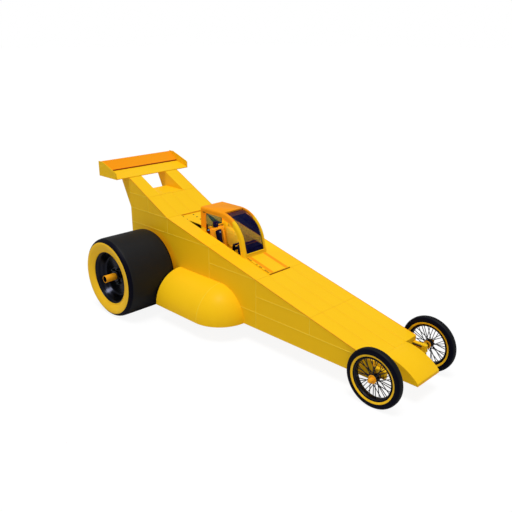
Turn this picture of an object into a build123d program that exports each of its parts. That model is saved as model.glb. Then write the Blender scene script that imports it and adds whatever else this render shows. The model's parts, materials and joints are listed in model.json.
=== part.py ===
from build123d import *
import math
import os

os.makedirs("parts", exist_ok=True)

# Drag racing car. +X is forward, +Y is the driver's left, +Z is up.
# The origin is on the ground, midway along the car and on its centre plane.

# Body shell: a flat-sided box that rises from the front face to the wing.
body_front_x = 2000
body_tail_x = -2000
body_half_width = 400
underside_z = 210
front_height = 200
hood_slope = 0.25
tail_slope = 0.5
tail_slope_start_x = -1200
fin_start_x = -1600
tail_knee_height = 1000
fin_lean = 200
fin_width = 200
panel_sheet = 4
hood_rear_x = 400
panel_joint_x = 400

# Driver's cell and the bay behind it.
cell_half_width = 180
cell_front_x = 0
cell_rear_x = -780
bay_rear_x = -1200
seat_bulkhead_height = 860

# Cover over the engine; its front corners are cut back as air gaps.
cover_drop = 12
cover_front_x = -800
air_gap_rear_x = -1110
air_gap_mid_x = -920
air_gap_mid_y = 104
air_gap_front_y = 84

# Nose.
nose_tip_x = 2400
nose_half_width = 200
nose_tip_height = 30
nose_mid_x = 2252
nose_mid_height = 138
nose_wall = 5

# Side pods: a quarter cylinder closed by a quarter dome, ahead of the rear tyres.
pod_radius = 400
pod_dome_x = -200
pod_dome_steps = 6
pod_tyre_gap = 15

# Wing.
wing_half_span = 600
wing_rear_x = -2410
wing_front_x = -2000
end_plate_thickness = 8
end_plate_height = 200
end_plate_front_height = 84
end_plate_top_length = 92
end_plate_slope_end = 380
plane_rear_x = -2246
plane_lip_height = 8
plane_rear_height = 70
flap_thickness = 8
flap_front_x = -2244
flap_front_height = 84
flap_rear_x = -2404
flap_rear_height = 192

# Canopy.
canopy_half_width = 190
canopy_wall = 10
canopy_edge_chamfer = 22
canopy_roof_z = 1402
canopy_roof_front_x = -440
canopy_brow_x = -190
canopy_brow_z = 1321
canopy_chin_x = -35
canopy_chin_z = 1105
canopy_front_x = 8
canopy_rail_height = 50
canopy_split_x = -200
window_rear_x = -682
window_top_z = 1323
window_front_band = 62
screen_top_x = -380
screen_half_width = 152
screen_sill_height = 42
rear_pane_half_width = 156
rear_pane_sill_height = 62
glass_thickness = 5

# Cowl lid ahead of the canopy.
lid_front_x = 396
lid_rear_x = 20
lid_half_width = 172
lid_height = 15
lid_hole_inset = 40

# Seat and controls.
seat_half_width = 120
seat_rear_x = -760
seat_top_x = -696
seat_top_z = 1105
seat_hip_x = -560
seat_hip_z = 440
seat_knee_x = -200
seat_knee_z = 470
seat_pad_thickness = 45
seat_pad_half_width = 58
seat_pad_margin = 36
headrest_half_width = 40
headrest_front_x = -704
headrest_top_z = 1191
dash_half_width = 150
dash_rear_x = -155
dash_front_x = -36
dash_low_z = 862
dash_rear_z = 1038
dash_front_z = 1008
dash_foot_gap = 12
yoke_x = -340
yoke_half_width = 50
yoke_low_z = 852
yoke_top_z = 980
yoke_bar_width = 20
yoke_bar_depth = 22
column_radius = 12
column_z = 920

# Rods beside the front arms.
front_rod_radius = 8
front_rod_end_x = 2105
front_rod_z = 338

# Engine block behind the seat bulkhead.
engine_front_x = -840
engine_rear_x = -1180
engine_half_width = 165
engine_top_z = 930

# Rear axle, wheels and tyres.
rear_axle_x = -1500
rear_tyre_radius = 510
rear_tyre_body_gap = 55
rear_tread_half_width = 320
rear_tyre_half_width = 350
rear_shoulder_drop = 30
rear_rim_lip = 12
rear_rim_radius = 336
rear_rim_wall = 8
rear_dish_offset = 195
rear_dish_radius = 262
rear_dish_thickness = 14
rear_boss_radius = 72
rear_boss_length = 40
rear_stub_radius = 46
rear_stub_bore = 30
rear_stub_bore_depth = 30
rear_stub_length = 150
axle_shaft_radius = 35
axle_tube_radius = 60
axle_tube_overhang = 30
running_clearance = 0.05
axle_hole_clearance = 2

# Front wheels, tyres and steering.
front_axle_x = 2100
front_tyre_radius = 310
front_wheel_offset = 100
front_tread_half_width = 30
front_tyre_half_width = 42
front_shoulder_drop = 12
front_bead_radius = 214
front_rim_inner_radius = 202
front_rim_half_width = 30
rim_seat_gap = 1
front_hub_radius = 37
front_hub_half_length = 30
spoke_width = 6
spoke_pairs = 18
spoke_lean_deg = 36
spoke_inset = 8
spoke_layer_offset = 3.5
hub_ring_radius = 45
hub_ring_thickness = 6
hub_ring_gap = 2
hub_cap_radius = 22
hub_cap_length = 47
spindle_radius = 12
spindle_end_gap = 2
kingpin_offset = 25
kingpin_radius = 7
arm_front_x = 2150
arm_width = 50
arm_low_z = 268
arm_top_z = 352
lug_radius = 14
lug_thickness = 14
lug_low_z = 272
lug_gap = 48
knuckle_plate_offset = 21
knuckle_plate_thickness = 11
knuckle_plate_half_length = 25

# Flats round the small hub parts that are cast with many sides.
ring_sides = 24

# Reach of the blocks that only cut, past every side of the car.
far = 3000


def top_z(x):
    """Height of the body's top line at a station."""
    rise = underside_z + front_height + hood_slope * (body_front_x - max(x, tail_slope_start_x))
    return rise + tail_slope * max(0, tail_slope_start_x - x)


def slab(points, y0, y1):
    """A side outline of (x, z) points, taken across the car from y0 to y1."""
    outline = Polyline([(x, y1, z) for x, z in points], close=True)
    return extrude(make_face(outline), amount=y1 - y0, dir=(0, -1, 0))


def block(x0, x1, y0, y1, z0, z1):
    """An upright box between two corners."""
    return slab([(x0, z0), (x1, z0), (x1, z1), (x0, z1)], y0, y1)


def sheet(stations, y0, y1, drop=0):
    """A roof sheet that follows the body's top line through the stations."""
    upper = [(x, top_z(x) - drop) for x in stations]
    lower = [(x, z - panel_sheet) for x, z in reversed(upper)]
    return slab(upper + lower, y0, y1)


def rod_y(radius, y0, y1, x, z):
    """A round bar across the car."""
    disc = Plane((x, y0, z), x_dir=(1, 0, 0), z_dir=(0, 1, 0)) * Circle(radius)
    return extrude(disc, amount=y1 - y0)


def rod_z(radius, z0, z1, x, y):
    """An upright round bar."""
    return Pos(x, y, z0) * extrude(Circle(radius), amount=z1 - z0)


def prism_y(flat_radius, count, y0, y1):
    """A many-sided bar across the car, measured to the middle of its flats."""
    corner_radius = flat_radius / math.cos(math.pi / count)
    outline = Plane((0, y0, 0), x_dir=(1, 0, 0), z_dir=(0, 1, 0)) * RegularPolygon(corner_radius, count)
    return extrude(outline.rotate(Axis.Y, 180 / count), amount=y1 - y0)


def turned(wire, x, y, z):
    """A profile of (distance across, radius) spun about a cross axis."""
    return Pos(x, y, z) * revolve(make_face(wire), Axis.Y)


def mirrored_outline(half):
    """A closed section from (across, radius) points and their mirror images."""
    points = half + [(-across, radius) for across, radius in reversed(half)]
    return Polyline([(0, across, radius) for across, radius in points], close=True)


def save(solid, name):
    export_step(solid, f"parts/{name}.step")


def both_sides(solid):
    """The piece as built on the left, and its mirror image on the right."""
    return {"left": solid, "right": mirror(solid, Plane.XZ)}


# ---- Body panels ----

body = {}
fin_base_z = top_z(fin_start_x)
wing_seat_z = top_z(body_tail_x)
rear_axle_z = rear_tyre_radius
front_axle_z = front_tyre_radius
rear_tyre_centre_y = body_half_width + rear_tyre_body_gap + rear_tyre_half_width
rear_dish_y = rear_tyre_centre_y + rear_dish_offset
front_wheel_y = body_half_width + front_wheel_offset
kingpin_y = body_half_width + kingpin_offset
knuckle_plate_y = kingpin_y + knuckle_plate_offset

pan_top_z = underside_z + panel_sheet
body["belly_pan"] = block(
    body_tail_x, body_front_x, -body_half_width, body_half_width, underside_z, pan_top_z
)

side_inner_y = body_half_width - panel_sheet
front_side = slab(
    [
        (panel_joint_x, pan_top_z),
        (body_front_x, pan_top_z),
        (body_front_x, top_z(body_front_x) - panel_sheet),
        (panel_joint_x, top_z(panel_joint_x) - panel_sheet),
    ],
    side_inner_y,
    body_half_width,
)
rear_side = slab(
    [
        (body_tail_x, pan_top_z),
        (panel_joint_x, pan_top_z),
        (panel_joint_x, top_z(panel_joint_x) - panel_sheet),
        (tail_slope_start_x, top_z(tail_slope_start_x) - panel_sheet),
        (fin_start_x, fin_base_z - panel_sheet),
        (body_tail_x, fin_base_z - panel_sheet),
    ],
    side_inner_y,
    body_half_width,
)
axle_hole = rod_y(
    axle_tube_radius + axle_hole_clearance,
    side_inner_y - 1,
    body_half_width + 1,
    rear_axle_x,
    rear_axle_z,
)
rear_side -= axle_hole
for side, solid in both_sides(front_side).items():
    body[f"side_front_{side}"] = solid
for side, solid in both_sides(rear_side).items():
    body[f"side_rear_{side}"] = solid

body["hood"] = sheet([hood_rear_x, body_front_x], -body_half_width, body_half_width)

# The tail deck climbs to the fins, then runs level between them.
tail_deck = sheet([bay_rear_x, fin_start_x], -body_half_width, body_half_width)
tail_deck += block(
    body_tail_x,
    fin_start_x,
    -body_half_width,
    body_half_width,
    fin_base_z - panel_sheet,
    fin_base_z,
)
body["tail_deck"] = tail_deck

# Each fin stands on the deck and leans back past the tail to carry the wing.
knee_z = underside_z + tail_knee_height
fin = slab(
    [
        (fin_start_x, fin_base_z),
        (body_tail_x, wing_seat_z),
        (body_tail_x - fin_lean, wing_seat_z),
        (body_tail_x, knee_z),
        (body_tail_x, fin_base_z),
    ],
    body_half_width - fin_width,
    body_half_width,
)
body["fins"] = Compound(children=list(both_sides(fin).values()))

# Cell sides: an inner wall with a strip of deck out to the body side.
cell_wall = slab(
    [
        (bay_rear_x, pan_top_z),
        (cell_front_x, pan_top_z),
        (cell_front_x, top_z(cell_front_x) - panel_sheet),
        (bay_rear_x, top_z(bay_rear_x) - panel_sheet),
    ],
    cell_half_width,
    cell_half_width + panel_sheet,
)
cell_side = cell_wall + sheet([bay_rear_x, hood_rear_x], cell_half_width, body_half_width)
body["cell_sides"] = Compound(children=list(both_sides(cell_side).values()))

# The cover rests between the bay's walls, a little below the deck strips.
cover_edge = [
    (bay_rear_x, cell_half_width),
    (air_gap_rear_x, cell_half_width),
    (air_gap_mid_x, air_gap_mid_y),
    (cover_front_x, air_gap_front_y),
]
cover_plan = Polyline(cover_edge + [(x, -y) for x, y in reversed(cover_edge)], close=True)
cover_column = Pos(0, 0, underside_z) * extrude(make_face(cover_plan), amount=far)
cover_sheet = sheet([bay_rear_x, cover_front_x], -cell_half_width, cell_half_width, cover_drop)
body["engine_cover"] = cover_column & cover_sheet

cowl = sheet([cell_front_x - panel_sheet, hood_rear_x], -cell_half_width, cell_half_width)
lid_hole = block(
    lid_rear_x + lid_hole_inset,
    lid_front_x - lid_hole_inset,
    lid_hole_inset - lid_half_width,
    lid_half_width - lid_hole_inset,
    underside_z,
    wing_seat_z,
)
body["cowl"] = cowl - lid_hole

# Bulkheads stand on the pan across the shell.
bulkhead_rows = [
    # front face x, half width, top z
    (body_front_x, side_inner_y, top_z(body_front_x) - panel_sheet),
    (cell_front_x, cell_half_width, top_z(cell_front_x) - panel_sheet),
    (cell_rear_x, cell_half_width, underside_z + seat_bulkhead_height),
    (body_tail_x + panel_sheet, side_inner_y, fin_base_z - panel_sheet),
]
bulkheads = Compound(
    children=[
        block(face_x - panel_sheet, face_x, -half_width, half_width, pan_top_z, high)
        for face_x, half_width, high in bulkhead_rows
    ]
)
body["bulkheads"] = bulkheads

# ---- Nose ----

def nose_outline(inset):
    """Side outline of the nose; the inset makes the hollow inside."""
    start = (body_front_x, 0, underside_z + inset)
    high = (body_front_x, 0, underside_z + front_height - inset)
    middle = (nose_mid_x, 0, underside_z + nose_mid_height - inset)
    tip_high = (nose_tip_x - inset, 0, underside_z + nose_tip_height - inset)
    tip_low = (nose_tip_x - inset, 0, underside_z + inset)
    crown = ThreePointArc(high, middle, tip_high)
    rest = Polyline(tip_high, tip_low, start, high)
    return make_face(Curve() + [crown, rest])


def nose_block(inset):
    half = nose_half_width - inset
    return Pos(0, half, 0) * extrude(nose_outline(inset), amount=2 * half, dir=(0, -1, 0))


body["nose"] = nose_block(0) - nose_block(nose_wall)

# ---- Side pods ----

# A quarter round bar with a domed front, its flat side on the body.
pod_rear_x = rear_axle_x + rear_tyre_radius + pod_tyre_gap
dome_angles = [math.radians(90 * step / pod_dome_steps) for step in range(pod_dome_steps + 1)]
dome_points = [
    (pod_dome_x + pod_radius * math.sin(angle), pod_radius * math.cos(angle), 0)
    for angle in dome_angles
]
pod_section = Polyline(dome_points + [(pod_rear_x, 0, 0), (pod_rear_x, pod_radius, 0)], close=True)
pod = revolve(make_face(pod_section), Axis.X, 90)
pod = Pos(0, body_half_width, underside_z) * pod
body["pods"] = Compound(children=list(both_sides(pod).values()))

# ---- Wing ----

end_plate = slab(
    [
        (wing_rear_x, wing_seat_z),
        (wing_front_x, wing_seat_z),
        (wing_front_x, wing_seat_z + end_plate_front_height),
        (wing_rear_x + end_plate_slope_end, wing_seat_z + end_plate_front_height + 16),
        (wing_rear_x + end_plate_top_length, wing_seat_z + end_plate_height),
        (wing_rear_x, wing_seat_z + end_plate_height),
    ],
    wing_half_span - end_plate_thickness,
    wing_half_span,
)
body["wing_end_plates"] = Compound(children=list(both_sides(end_plate).values()))
wing_inner = wing_half_span - end_plate_thickness
body["wing_plane"] = slab(
    [
        (wing_front_x, wing_seat_z),
        (wing_front_x, wing_seat_z + plane_lip_height),
        (plane_rear_x, wing_seat_z + plane_rear_height),
        (plane_rear_x, wing_seat_z),
    ],
    -wing_inner,
    wing_inner,
)
flap_low = wing_seat_z + flap_front_height
flap_high = wing_seat_z + flap_rear_height
body["wing_flap"] = slab(
    [
        (flap_front_x, flap_low),
        (flap_rear_x, flap_high),
        (flap_rear_x, flap_high - flap_thickness),
        (flap_front_x, flap_low - flap_thickness),
    ],
    -wing_inner,
    wing_inner,
)

# ---- Canopy ----


def canopy_face(inset):
    """Side outline of the canopy down to below the body's top line."""
    rear = cell_rear_x + inset
    roof = canopy_roof_z - inset
    base_z = underside_z
    crown_rear = (rear, 0, roof)
    crown_front = (canopy_roof_front_x, 0, roof)
    brow = (canopy_brow_x - inset * 0.7, 0, canopy_brow_z - inset * 0.7)
    chin = (canopy_chin_x - inset, 0, canopy_chin_z)
    foot = (canopy_front_x - inset, 0, top_z(canopy_front_x))
    edges = [
        Line(crown_rear, crown_front),
        ThreePointArc(crown_front, brow, chin),
        Polyline(chin, foot, (canopy_front_x - inset, 0, base_z), (rear, 0, base_z), crown_rear),
    ]
    return make_face(Curve() + edges)


def canopy_block(inset):
    """The canopy's form at an inset from its outside, with its long upper edges taken off."""
    half = canopy_half_width - inset
    form = Pos(0, half, 0) * extrude(canopy_face(inset), amount=2 * half, dir=(0, -1, 0))
    low = top_z(canopy_front_x) - 1
    long_edges = [
        edge
        for edge in form.edges()
        if abs(abs(edge.center().Y) - half) < 1 and edge.bounding_box().min.Z > low
    ]
    # an inner form's smaller chamfer keeps the wall even round the edge
    return chamfer(long_edges, canopy_edge_chamfer - inset * (2 - math.sqrt(2)))


def above_line(height):
    """All space above the body's top line by the given height."""
    low_rear = top_z(cell_rear_x - 100) + height
    low_front = top_z(cell_front_x + 100) + height
    return slab(
        [(cell_rear_x - 100, low_rear), (cell_front_x + 100, low_front), (100, far), (-890, far)],
        -body_half_width,
        body_half_width,
    )


canopy_outer = canopy_block(0)
canopy_shell = canopy_outer - canopy_block(canopy_wall)
canopy_shell &= above_line(0)
opening_form = extrude(canopy_face(window_front_band), amount=far, both=True)
side_opening = opening_form & above_line(canopy_rail_height)
side_opening &= block(window_rear_x, cell_front_x, -far, far, underside_z, window_top_z)
screen_zone = block(screen_top_x, 100, -screen_half_width, screen_half_width, underside_z, far)
screen_zone &= above_line(screen_sill_height)
rear_zone = block(
    cell_rear_x - 50,
    cell_rear_x + canopy_wall + 1,
    -rear_pane_half_width,
    rear_pane_half_width,
    top_z(cell_rear_x) + rear_pane_sill_height,
    window_top_z,
)
canopy_frame = canopy_shell - side_opening - screen_zone - rear_zone
hood_zone = block(cell_rear_x - 50, canopy_split_x, -far, far, underside_z, far)
upper_frame = canopy_frame & above_line(canopy_rail_height)
body["canopy_hood"] = upper_frame & hood_zone
body["canopy_front_frame"] = upper_frame - hood_zone
body["canopy_base"] = canopy_frame - above_line(canopy_rail_height)
glass_skin = canopy_outer - canopy_block(glass_thickness)
body["windscreen"] = glass_skin & screen_zone
body["rear_window"] = glass_skin & rear_zone
left_skin = block(
    cell_rear_x, cell_front_x, canopy_half_width - glass_thickness, canopy_half_width, underside_z, far
)
body["side_window"] = side_opening & left_skin

# ---- Cowl lid ----

body["cowl_lid"] = slab(
    [
        (lid_rear_x, top_z(lid_rear_x)),
        (lid_front_x, top_z(lid_front_x)),
        (lid_front_x, top_z(lid_front_x) + lid_height),
        (lid_rear_x, top_z(lid_rear_x) + lid_height),
    ],
    -lid_half_width,
    lid_half_width,
)

# ---- Seat and engine ----

seat_face = [
    (seat_top_x, seat_top_z),
    (seat_hip_x, seat_hip_z),
    (seat_knee_x, seat_knee_z),
]
seat_foot = [(seat_knee_x, pan_top_z), (seat_rear_x, pan_top_z), (seat_rear_x, seat_top_z)]
body["seat_shell"] = slab(seat_face + seat_foot, -seat_half_width, seat_half_width)
# The pad follows the seat's face, a margin short of both its ends.
back_run = Vector(seat_top_x - seat_hip_x, seat_top_z - seat_hip_z)
base_run = Vector(seat_knee_x - seat_hip_x, seat_knee_z - seat_hip_z)
hip = Vector(seat_hip_x, seat_hip_z)
back_end = hip + back_run * (1 - seat_pad_margin / back_run.length)
base_end = hip + base_run * (1 - seat_pad_margin / base_run.length)
back_out = Vector(back_run.Y, -back_run.X).normalized() * seat_pad_thickness
base_out = Vector(-base_run.Y, base_run.X).normalized() * seat_pad_thickness
pad_hip = hip + back_out + base_out
pad_points = [back_end, hip, base_end, base_end + base_out, pad_hip, back_end + back_out]
body["seat_pad"] = slab(
    [(point.X, point.Y) for point in pad_points], -seat_pad_half_width, seat_pad_half_width
)
body["headrest"] = block(
    seat_rear_x,
    headrest_front_x,
    -headrest_half_width,
    headrest_half_width,
    seat_top_z,
    headrest_top_z,
)
# The dash stands on the cell's front bulkhead, behind the windscreen.
bulkhead_rear_x = cell_front_x - panel_sheet
body["dash"] = slab(
    [
        (bulkhead_rear_x, dash_low_z),
        (bulkhead_rear_x, top_z(bulkhead_rear_x) - dash_foot_gap),
        (dash_front_x + dash_foot_gap, top_z(dash_front_x) - dash_foot_gap),
        (dash_front_x, dash_front_z),
        (dash_rear_x, dash_rear_z),
        (dash_rear_x, dash_low_z),
    ],
    -dash_half_width,
    dash_half_width,
)
# The yoke: two grips under a cross bar, with a boss on the column's end.
yoke_half_depth = yoke_bar_depth / 2
yoke_outer = block(
    yoke_x - yoke_half_depth,
    yoke_x + yoke_half_depth,
    -yoke_half_width,
    yoke_half_width,
    yoke_low_z,
    yoke_top_z,
)
grip_inner = yoke_half_width - yoke_bar_width
bar_low_z = yoke_top_z - yoke_bar_width
boss_top_z = column_z + column_radius + 4
yoke = yoke_outer - block(yoke_x - far, yoke_x + far, -grip_inner, grip_inner, boss_top_z, bar_low_z)
yoke -= block(yoke_x - far, yoke_x + far, -grip_inner, grip_inner, 0, column_z - column_radius - 4)
column = Pos(yoke_x, 0, column_z) * extrude(
    Plane.YZ * Circle(column_radius), amount=dash_rear_x - yoke_x
)
body["steering_yoke"] = yoke + column
body["engine"] = block(
    engine_rear_x, engine_front_x, -engine_half_width, engine_half_width, pan_top_z, engine_top_z
)

# ---- Rear axle ----

tube_end_y = body_half_width + axle_tube_overhang
shaft_bore = rod_y(axle_shaft_radius + running_clearance, -far, far, rear_axle_x, rear_axle_z)
tube = rod_y(axle_tube_radius, -tube_end_y, tube_end_y, rear_axle_x, rear_axle_z)
stand = block(
    rear_axle_x - axle_tube_radius,
    rear_axle_x + axle_tube_radius,
    -axle_tube_radius,
    axle_tube_radius,
    pan_top_z,
    rear_axle_z,
)
body["rear_axle_housing"] = tube + stand - shaft_bore

shaft_end_y = rear_dish_y - rear_dish_thickness
body["rear_axle_shaft"] = rod_y(
    axle_shaft_radius, -shaft_end_y, shaft_end_y, rear_axle_x, rear_axle_z
)

# Half of the slick's section, from the tread's middle round to the bead.
tyre_half = [
    (rear_tread_half_width, rear_tyre_radius),
    (rear_tyre_half_width, rear_tyre_radius - rear_shoulder_drop),
    (rear_tyre_half_width, rear_rim_radius),
]
rear_tyre = turned(mirrored_outline(tyre_half), rear_axle_x, rear_tyre_centre_y, rear_axle_z)

bead_half = rear_tyre_half_width - rear_rim_lip
dish_y = rear_dish_offset
rim_low = rear_rim_radius - rear_rim_wall
rim_wire = Polyline(
    (0, -bead_half, rear_rim_radius),
    (0, bead_half, rear_rim_radius),
    (0, dish_y, rear_dish_radius),
    (0, dish_y, rear_boss_radius),
    (0, dish_y + rear_boss_length, rear_boss_radius),
    (0, dish_y + rear_boss_length, 0),
    (0, dish_y - rear_dish_thickness, 0),
    (0, dish_y - rear_dish_thickness, rim_low),
    (0, -bead_half, rim_low),
    close=True,
)
rear_rim = turned(rim_wire, rear_axle_x, rear_tyre_centre_y, rear_axle_z)
body["rear_tyres"] = Compound(children=list(both_sides(rear_tyre).values()))
body["rear_rims"] = Compound(children=list(both_sides(rear_rim).values()))
stub_start_y = rear_dish_y + rear_boss_length
rear_stub_end_y = stub_start_y + rear_stub_length
bore_start_y = rear_stub_end_y - rear_stub_bore_depth
stub = prism_y(rear_stub_radius, ring_sides, stub_start_y, rear_stub_end_y)
stub -= prism_y(rear_stub_bore, ring_sides, bore_start_y, rear_stub_end_y)
stub = Pos(rear_axle_x, 0, rear_axle_z) * stub
body["rear_hub_stubs"] = Compound(children=list(both_sides(stub).values()))

# ---- Front arms, knuckles and wire wheels ----

arm_outer_y = body_half_width
arm_inner_y = arm_outer_y - arm_width
arm = block(body_front_x, arm_front_x, arm_inner_y, arm_outer_y, arm_low_z, arm_top_z)
upper_lug_z = lug_low_z + lug_thickness + lug_gap
lug_half = lug_radius
lug_outline = Polyline(
    (front_axle_x - lug_half, arm_outer_y, 0),
    (front_axle_x - lug_half, kingpin_y + lug_half / 2, 0),
    (front_axle_x - lug_half / 2, kingpin_y + lug_half, 0),
    (front_axle_x + lug_half / 2, kingpin_y + lug_half, 0),
    (front_axle_x + lug_half, kingpin_y + lug_half / 2, 0),
    (front_axle_x + lug_half, arm_outer_y, 0),
    close=True,
)
for low in (lug_low_z, upper_lug_z):
    arm += Pos(0, 0, low) * extrude(make_face(lug_outline), amount=lug_thickness)
arm -= rod_z(kingpin_radius + running_clearance, lug_low_z, upper_lug_z + 50, front_axle_x, kingpin_y)
body["front_arms"] = Compound(children=list(both_sides(arm).values()))
front_rod = Pos(body_front_x, arm_inner_y - front_rod_radius - 1, front_rod_z) * extrude(
    Plane.YZ * RegularPolygon(front_rod_radius, 8), amount=front_rod_end_x - body_front_x
)
body["front_rods"] = Compound(children=list(both_sides(front_rod).values()))

barrel_low = lug_low_z + lug_thickness + 1
barrel_high = upper_lug_z - 1
knuckle = rod_z(kingpin_radius, lug_low_z, upper_lug_z + lug_thickness, front_axle_x, kingpin_y)
knuckle += block(
    front_axle_x - lug_radius,
    front_axle_x + lug_radius,
    kingpin_y - lug_radius,
    knuckle_plate_y,
    barrel_low,
    barrel_high,
)
plate_outer = knuckle_plate_y + knuckle_plate_thickness
knuckle += block(
    front_axle_x - knuckle_plate_half_length,
    front_axle_x + knuckle_plate_half_length,
    knuckle_plate_y,
    plate_outer,
    barrel_low,
    barrel_high,
)
hub_outer_y = front_wheel_y + front_hub_half_length
knuckle += rod_y(
    spindle_radius, plate_outer, hub_outer_y - spindle_end_gap, front_axle_x, front_axle_z
)
for side, solid in both_sides(knuckle).items():
    body[f"knuckle_{side}"] = solid

# Half of the front tyre's section, from the tread's middle round to the bead.
front_tyre_half = [
    (front_tread_half_width, front_tyre_radius),
    (front_tyre_half_width, front_tyre_radius - front_shoulder_drop),
    (front_tyre_half_width, front_bead_radius),
]
front_tyre = turned(mirrored_outline(front_tyre_half), front_axle_x, front_wheel_y, front_axle_z)
for side, solid in both_sides(front_tyre).items():
    body[f"front_tyre_{side}"] = solid

# The rim and the hub have a flat for each spoke to seat on.
spoke_count = 2 * spoke_pairs
rim_seat_radius = front_bead_radius - rim_seat_gap
rim_ring = prism_y(rim_seat_radius, spoke_count, -front_rim_half_width, front_rim_half_width)
rim_ring -= prism_y(front_rim_inner_radius, spoke_count, -far, far)
hub_shell = prism_y(front_hub_radius, spoke_count, -front_hub_half_length, front_hub_half_length)
hub_shell -= rod_y(spindle_radius + running_clearance, -far, far, 0, 0)
# Laced spokes leave each end of the hub on two layers, leaning either way in turn.
spokes = []
spoke_root = front_hub_radius - 5
spoke_tip = front_rim_inner_radius + 3
for index in range(spoke_count):
    end = 1 if index % 2 else -1
    layer = 1 if (index // 2) % 2 else -1
    rim_angle = math.radians(360 * index / spoke_count)
    hub_angle = rim_angle + layer * math.radians(spoke_lean_deg)
    hub_y = end * (front_hub_half_length - spoke_inset + layer * spoke_layer_offset)
    start = Vector(spoke_root * math.sin(hub_angle), hub_y, spoke_root * math.cos(hub_angle))
    tip = Vector(spoke_tip * math.sin(rim_angle), end * 5, spoke_tip * math.cos(rim_angle))
    run = tip - start
    section = Plane(start, z_dir=run) * RegularPolygon(spoke_width / 2, 4)
    spokes.append(extrude(section, amount=run.length))
wheel = rim_ring + [hub_shell] + spokes
wheel = Pos(front_axle_x, front_wheel_y, front_axle_z) * wheel
for side, solid in both_sides(wheel).items():
    body[f"front_wheel_{side}"] = solid

# A ring at each end of the hub; the outer one is closed by the hub cap.
ring_start = front_hub_half_length
ring_end = ring_start + hub_ring_thickness
outer_trim = prism_y(hub_ring_radius, ring_sides, ring_start, ring_end)
outer_trim += prism_y(hub_cap_radius, ring_sides, ring_end, ring_end + hub_cap_length)
inner_ring = prism_y(hub_ring_radius, ring_sides, -ring_end, -ring_start)
inner_ring -= prism_y(spindle_radius + hub_ring_gap, ring_sides, -far, far)
hub_trim = Pos(front_axle_x, front_wheel_y, front_axle_z) * Compound(children=[outer_trim, inner_ring])
for side, solid in both_sides(hub_trim).items():
    body[f"front_hub_trim_{side}"] = solid

for name, solid in body.items():
    save(solid, name)
print(len(body), "parts")
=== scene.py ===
import bpy
import bmesh
import json
import math
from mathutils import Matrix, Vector


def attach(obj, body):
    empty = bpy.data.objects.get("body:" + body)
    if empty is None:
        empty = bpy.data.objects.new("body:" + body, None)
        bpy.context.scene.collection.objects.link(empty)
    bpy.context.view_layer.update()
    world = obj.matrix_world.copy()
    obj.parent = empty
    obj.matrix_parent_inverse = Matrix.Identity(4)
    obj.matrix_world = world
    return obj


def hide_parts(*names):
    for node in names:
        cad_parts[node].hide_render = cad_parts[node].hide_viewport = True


# Drag racing car. Metres; +X forward, +Y to the driver's left, +Z up, ground at z = 0.

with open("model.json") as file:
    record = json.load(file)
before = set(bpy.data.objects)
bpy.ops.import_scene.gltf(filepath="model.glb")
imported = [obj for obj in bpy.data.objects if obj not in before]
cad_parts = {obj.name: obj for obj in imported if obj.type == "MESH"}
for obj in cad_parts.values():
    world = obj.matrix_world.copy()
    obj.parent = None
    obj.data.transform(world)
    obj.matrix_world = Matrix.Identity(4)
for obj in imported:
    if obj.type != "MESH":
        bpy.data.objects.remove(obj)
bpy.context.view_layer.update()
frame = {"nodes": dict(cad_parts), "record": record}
scene = bpy.context.scene
mm = 0.001
bothSides = ((1, "left"), (-1, "right"))
print("frame loaded:", len(frame["nodes"]), "nodes")


def placeObject(name, data):
    made = bpy.data.objects.new(name, data)
    scene.collection.objects.link(made)
    return made


def setAll(owner, **settings):
    # set several settings of one thing, and give it back
    for name, value in settings.items():
        setattr(owner, name, value)
    return owner


# Camera: front right of the car, looking down at the middle of the body
cameraSetup = {
    "target": Vector((0.0025, 0.0, 0.90)),
    "offset": Vector((4.963, -4.963, 2.482)),
    "lens": 43.456,
}
camera = placeObject("camera", bpy.data.cameras.new("camera"))
camera.data.lens = cameraSetup["lens"]
camera.data.sensor_width = 36
camera.location = cameraSetup["target"] + cameraSetup["offset"]
camera.rotation_euler = (-cameraSetup["offset"]).to_track_quat("-Z", "Y").to_euler()
scene.camera = camera
scene.view_settings.view_transform = "Standard"


def linearColour(code):
    # sRGB hex such as "FFC81E" to linear red, green, blue, alpha
    channels = [int(code[i:i + 2], 16) / 255 for i in (0, 2, 4)]
    linear = [c / 12.92 if c <= 0.04045 else ((c + 0.055) / 1.055) ** 2.4 for c in channels]
    return (*linear, 1.0)


def addNode(tree, kind, inputs=None, **settings):
    # one node and its settings; an input is a value, a socket to link from, or a node for its first output
    node = setAll(tree.nodes.new("ShaderNode" + kind), **settings)
    for key, value in (inputs or {}).items():
        if isinstance(value, bpy.types.Node):
            value = value.outputs[0]
        if isinstance(value, bpy.types.NodeSocket):
            tree.links.new(value, node.inputs[key])
        else:
            node.inputs[key].default_value = value
    return node


def emptyTree(owner):
    owner.use_nodes = True
    owner.node_tree.nodes.clear()
    return owner.node_tree


def startMaterial(name):
    # a new material, its nodes, and the coordinates its patterns are laid on
    material = bpy.data.materials.new(name)
    tree = emptyTree(material)
    return material, tree, addNode(tree, "TexCoord").outputs["Object"]


def finishMaterial(material, settings):
    shader = addNode(material.node_tree, "BsdfPrincipled", settings)
    addNode(material.node_tree, "OutputMaterial", {"Surface": shader})
    return material


def finishTones(material, tones, rough, drift, relief, strength, depthMm, settings):
    # two tones, and a range of roughness if there is one, follow a drifting pattern; relief is the bump's
    tree = material.node_tree
    deep, light = (linearColour(tone) for tone in tones)
    colour = addNode(tree, "Mix", {0: drift, 6: deep, 7: light}, data_type="RGBA").outputs[2]
    if isinstance(rough, tuple):
        rough = addNode(tree, "MapRange", {"Value": drift, "To Min": rough[0], "To Max": rough[1]})
    bump = addNode(tree, "Bump", {"Height": relief, "Strength": strength, "Distance": depthMm * mm})
    return finishMaterial(material, {"Base Color": colour, "Roughness": rough, "Normal": bump, **settings})


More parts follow.
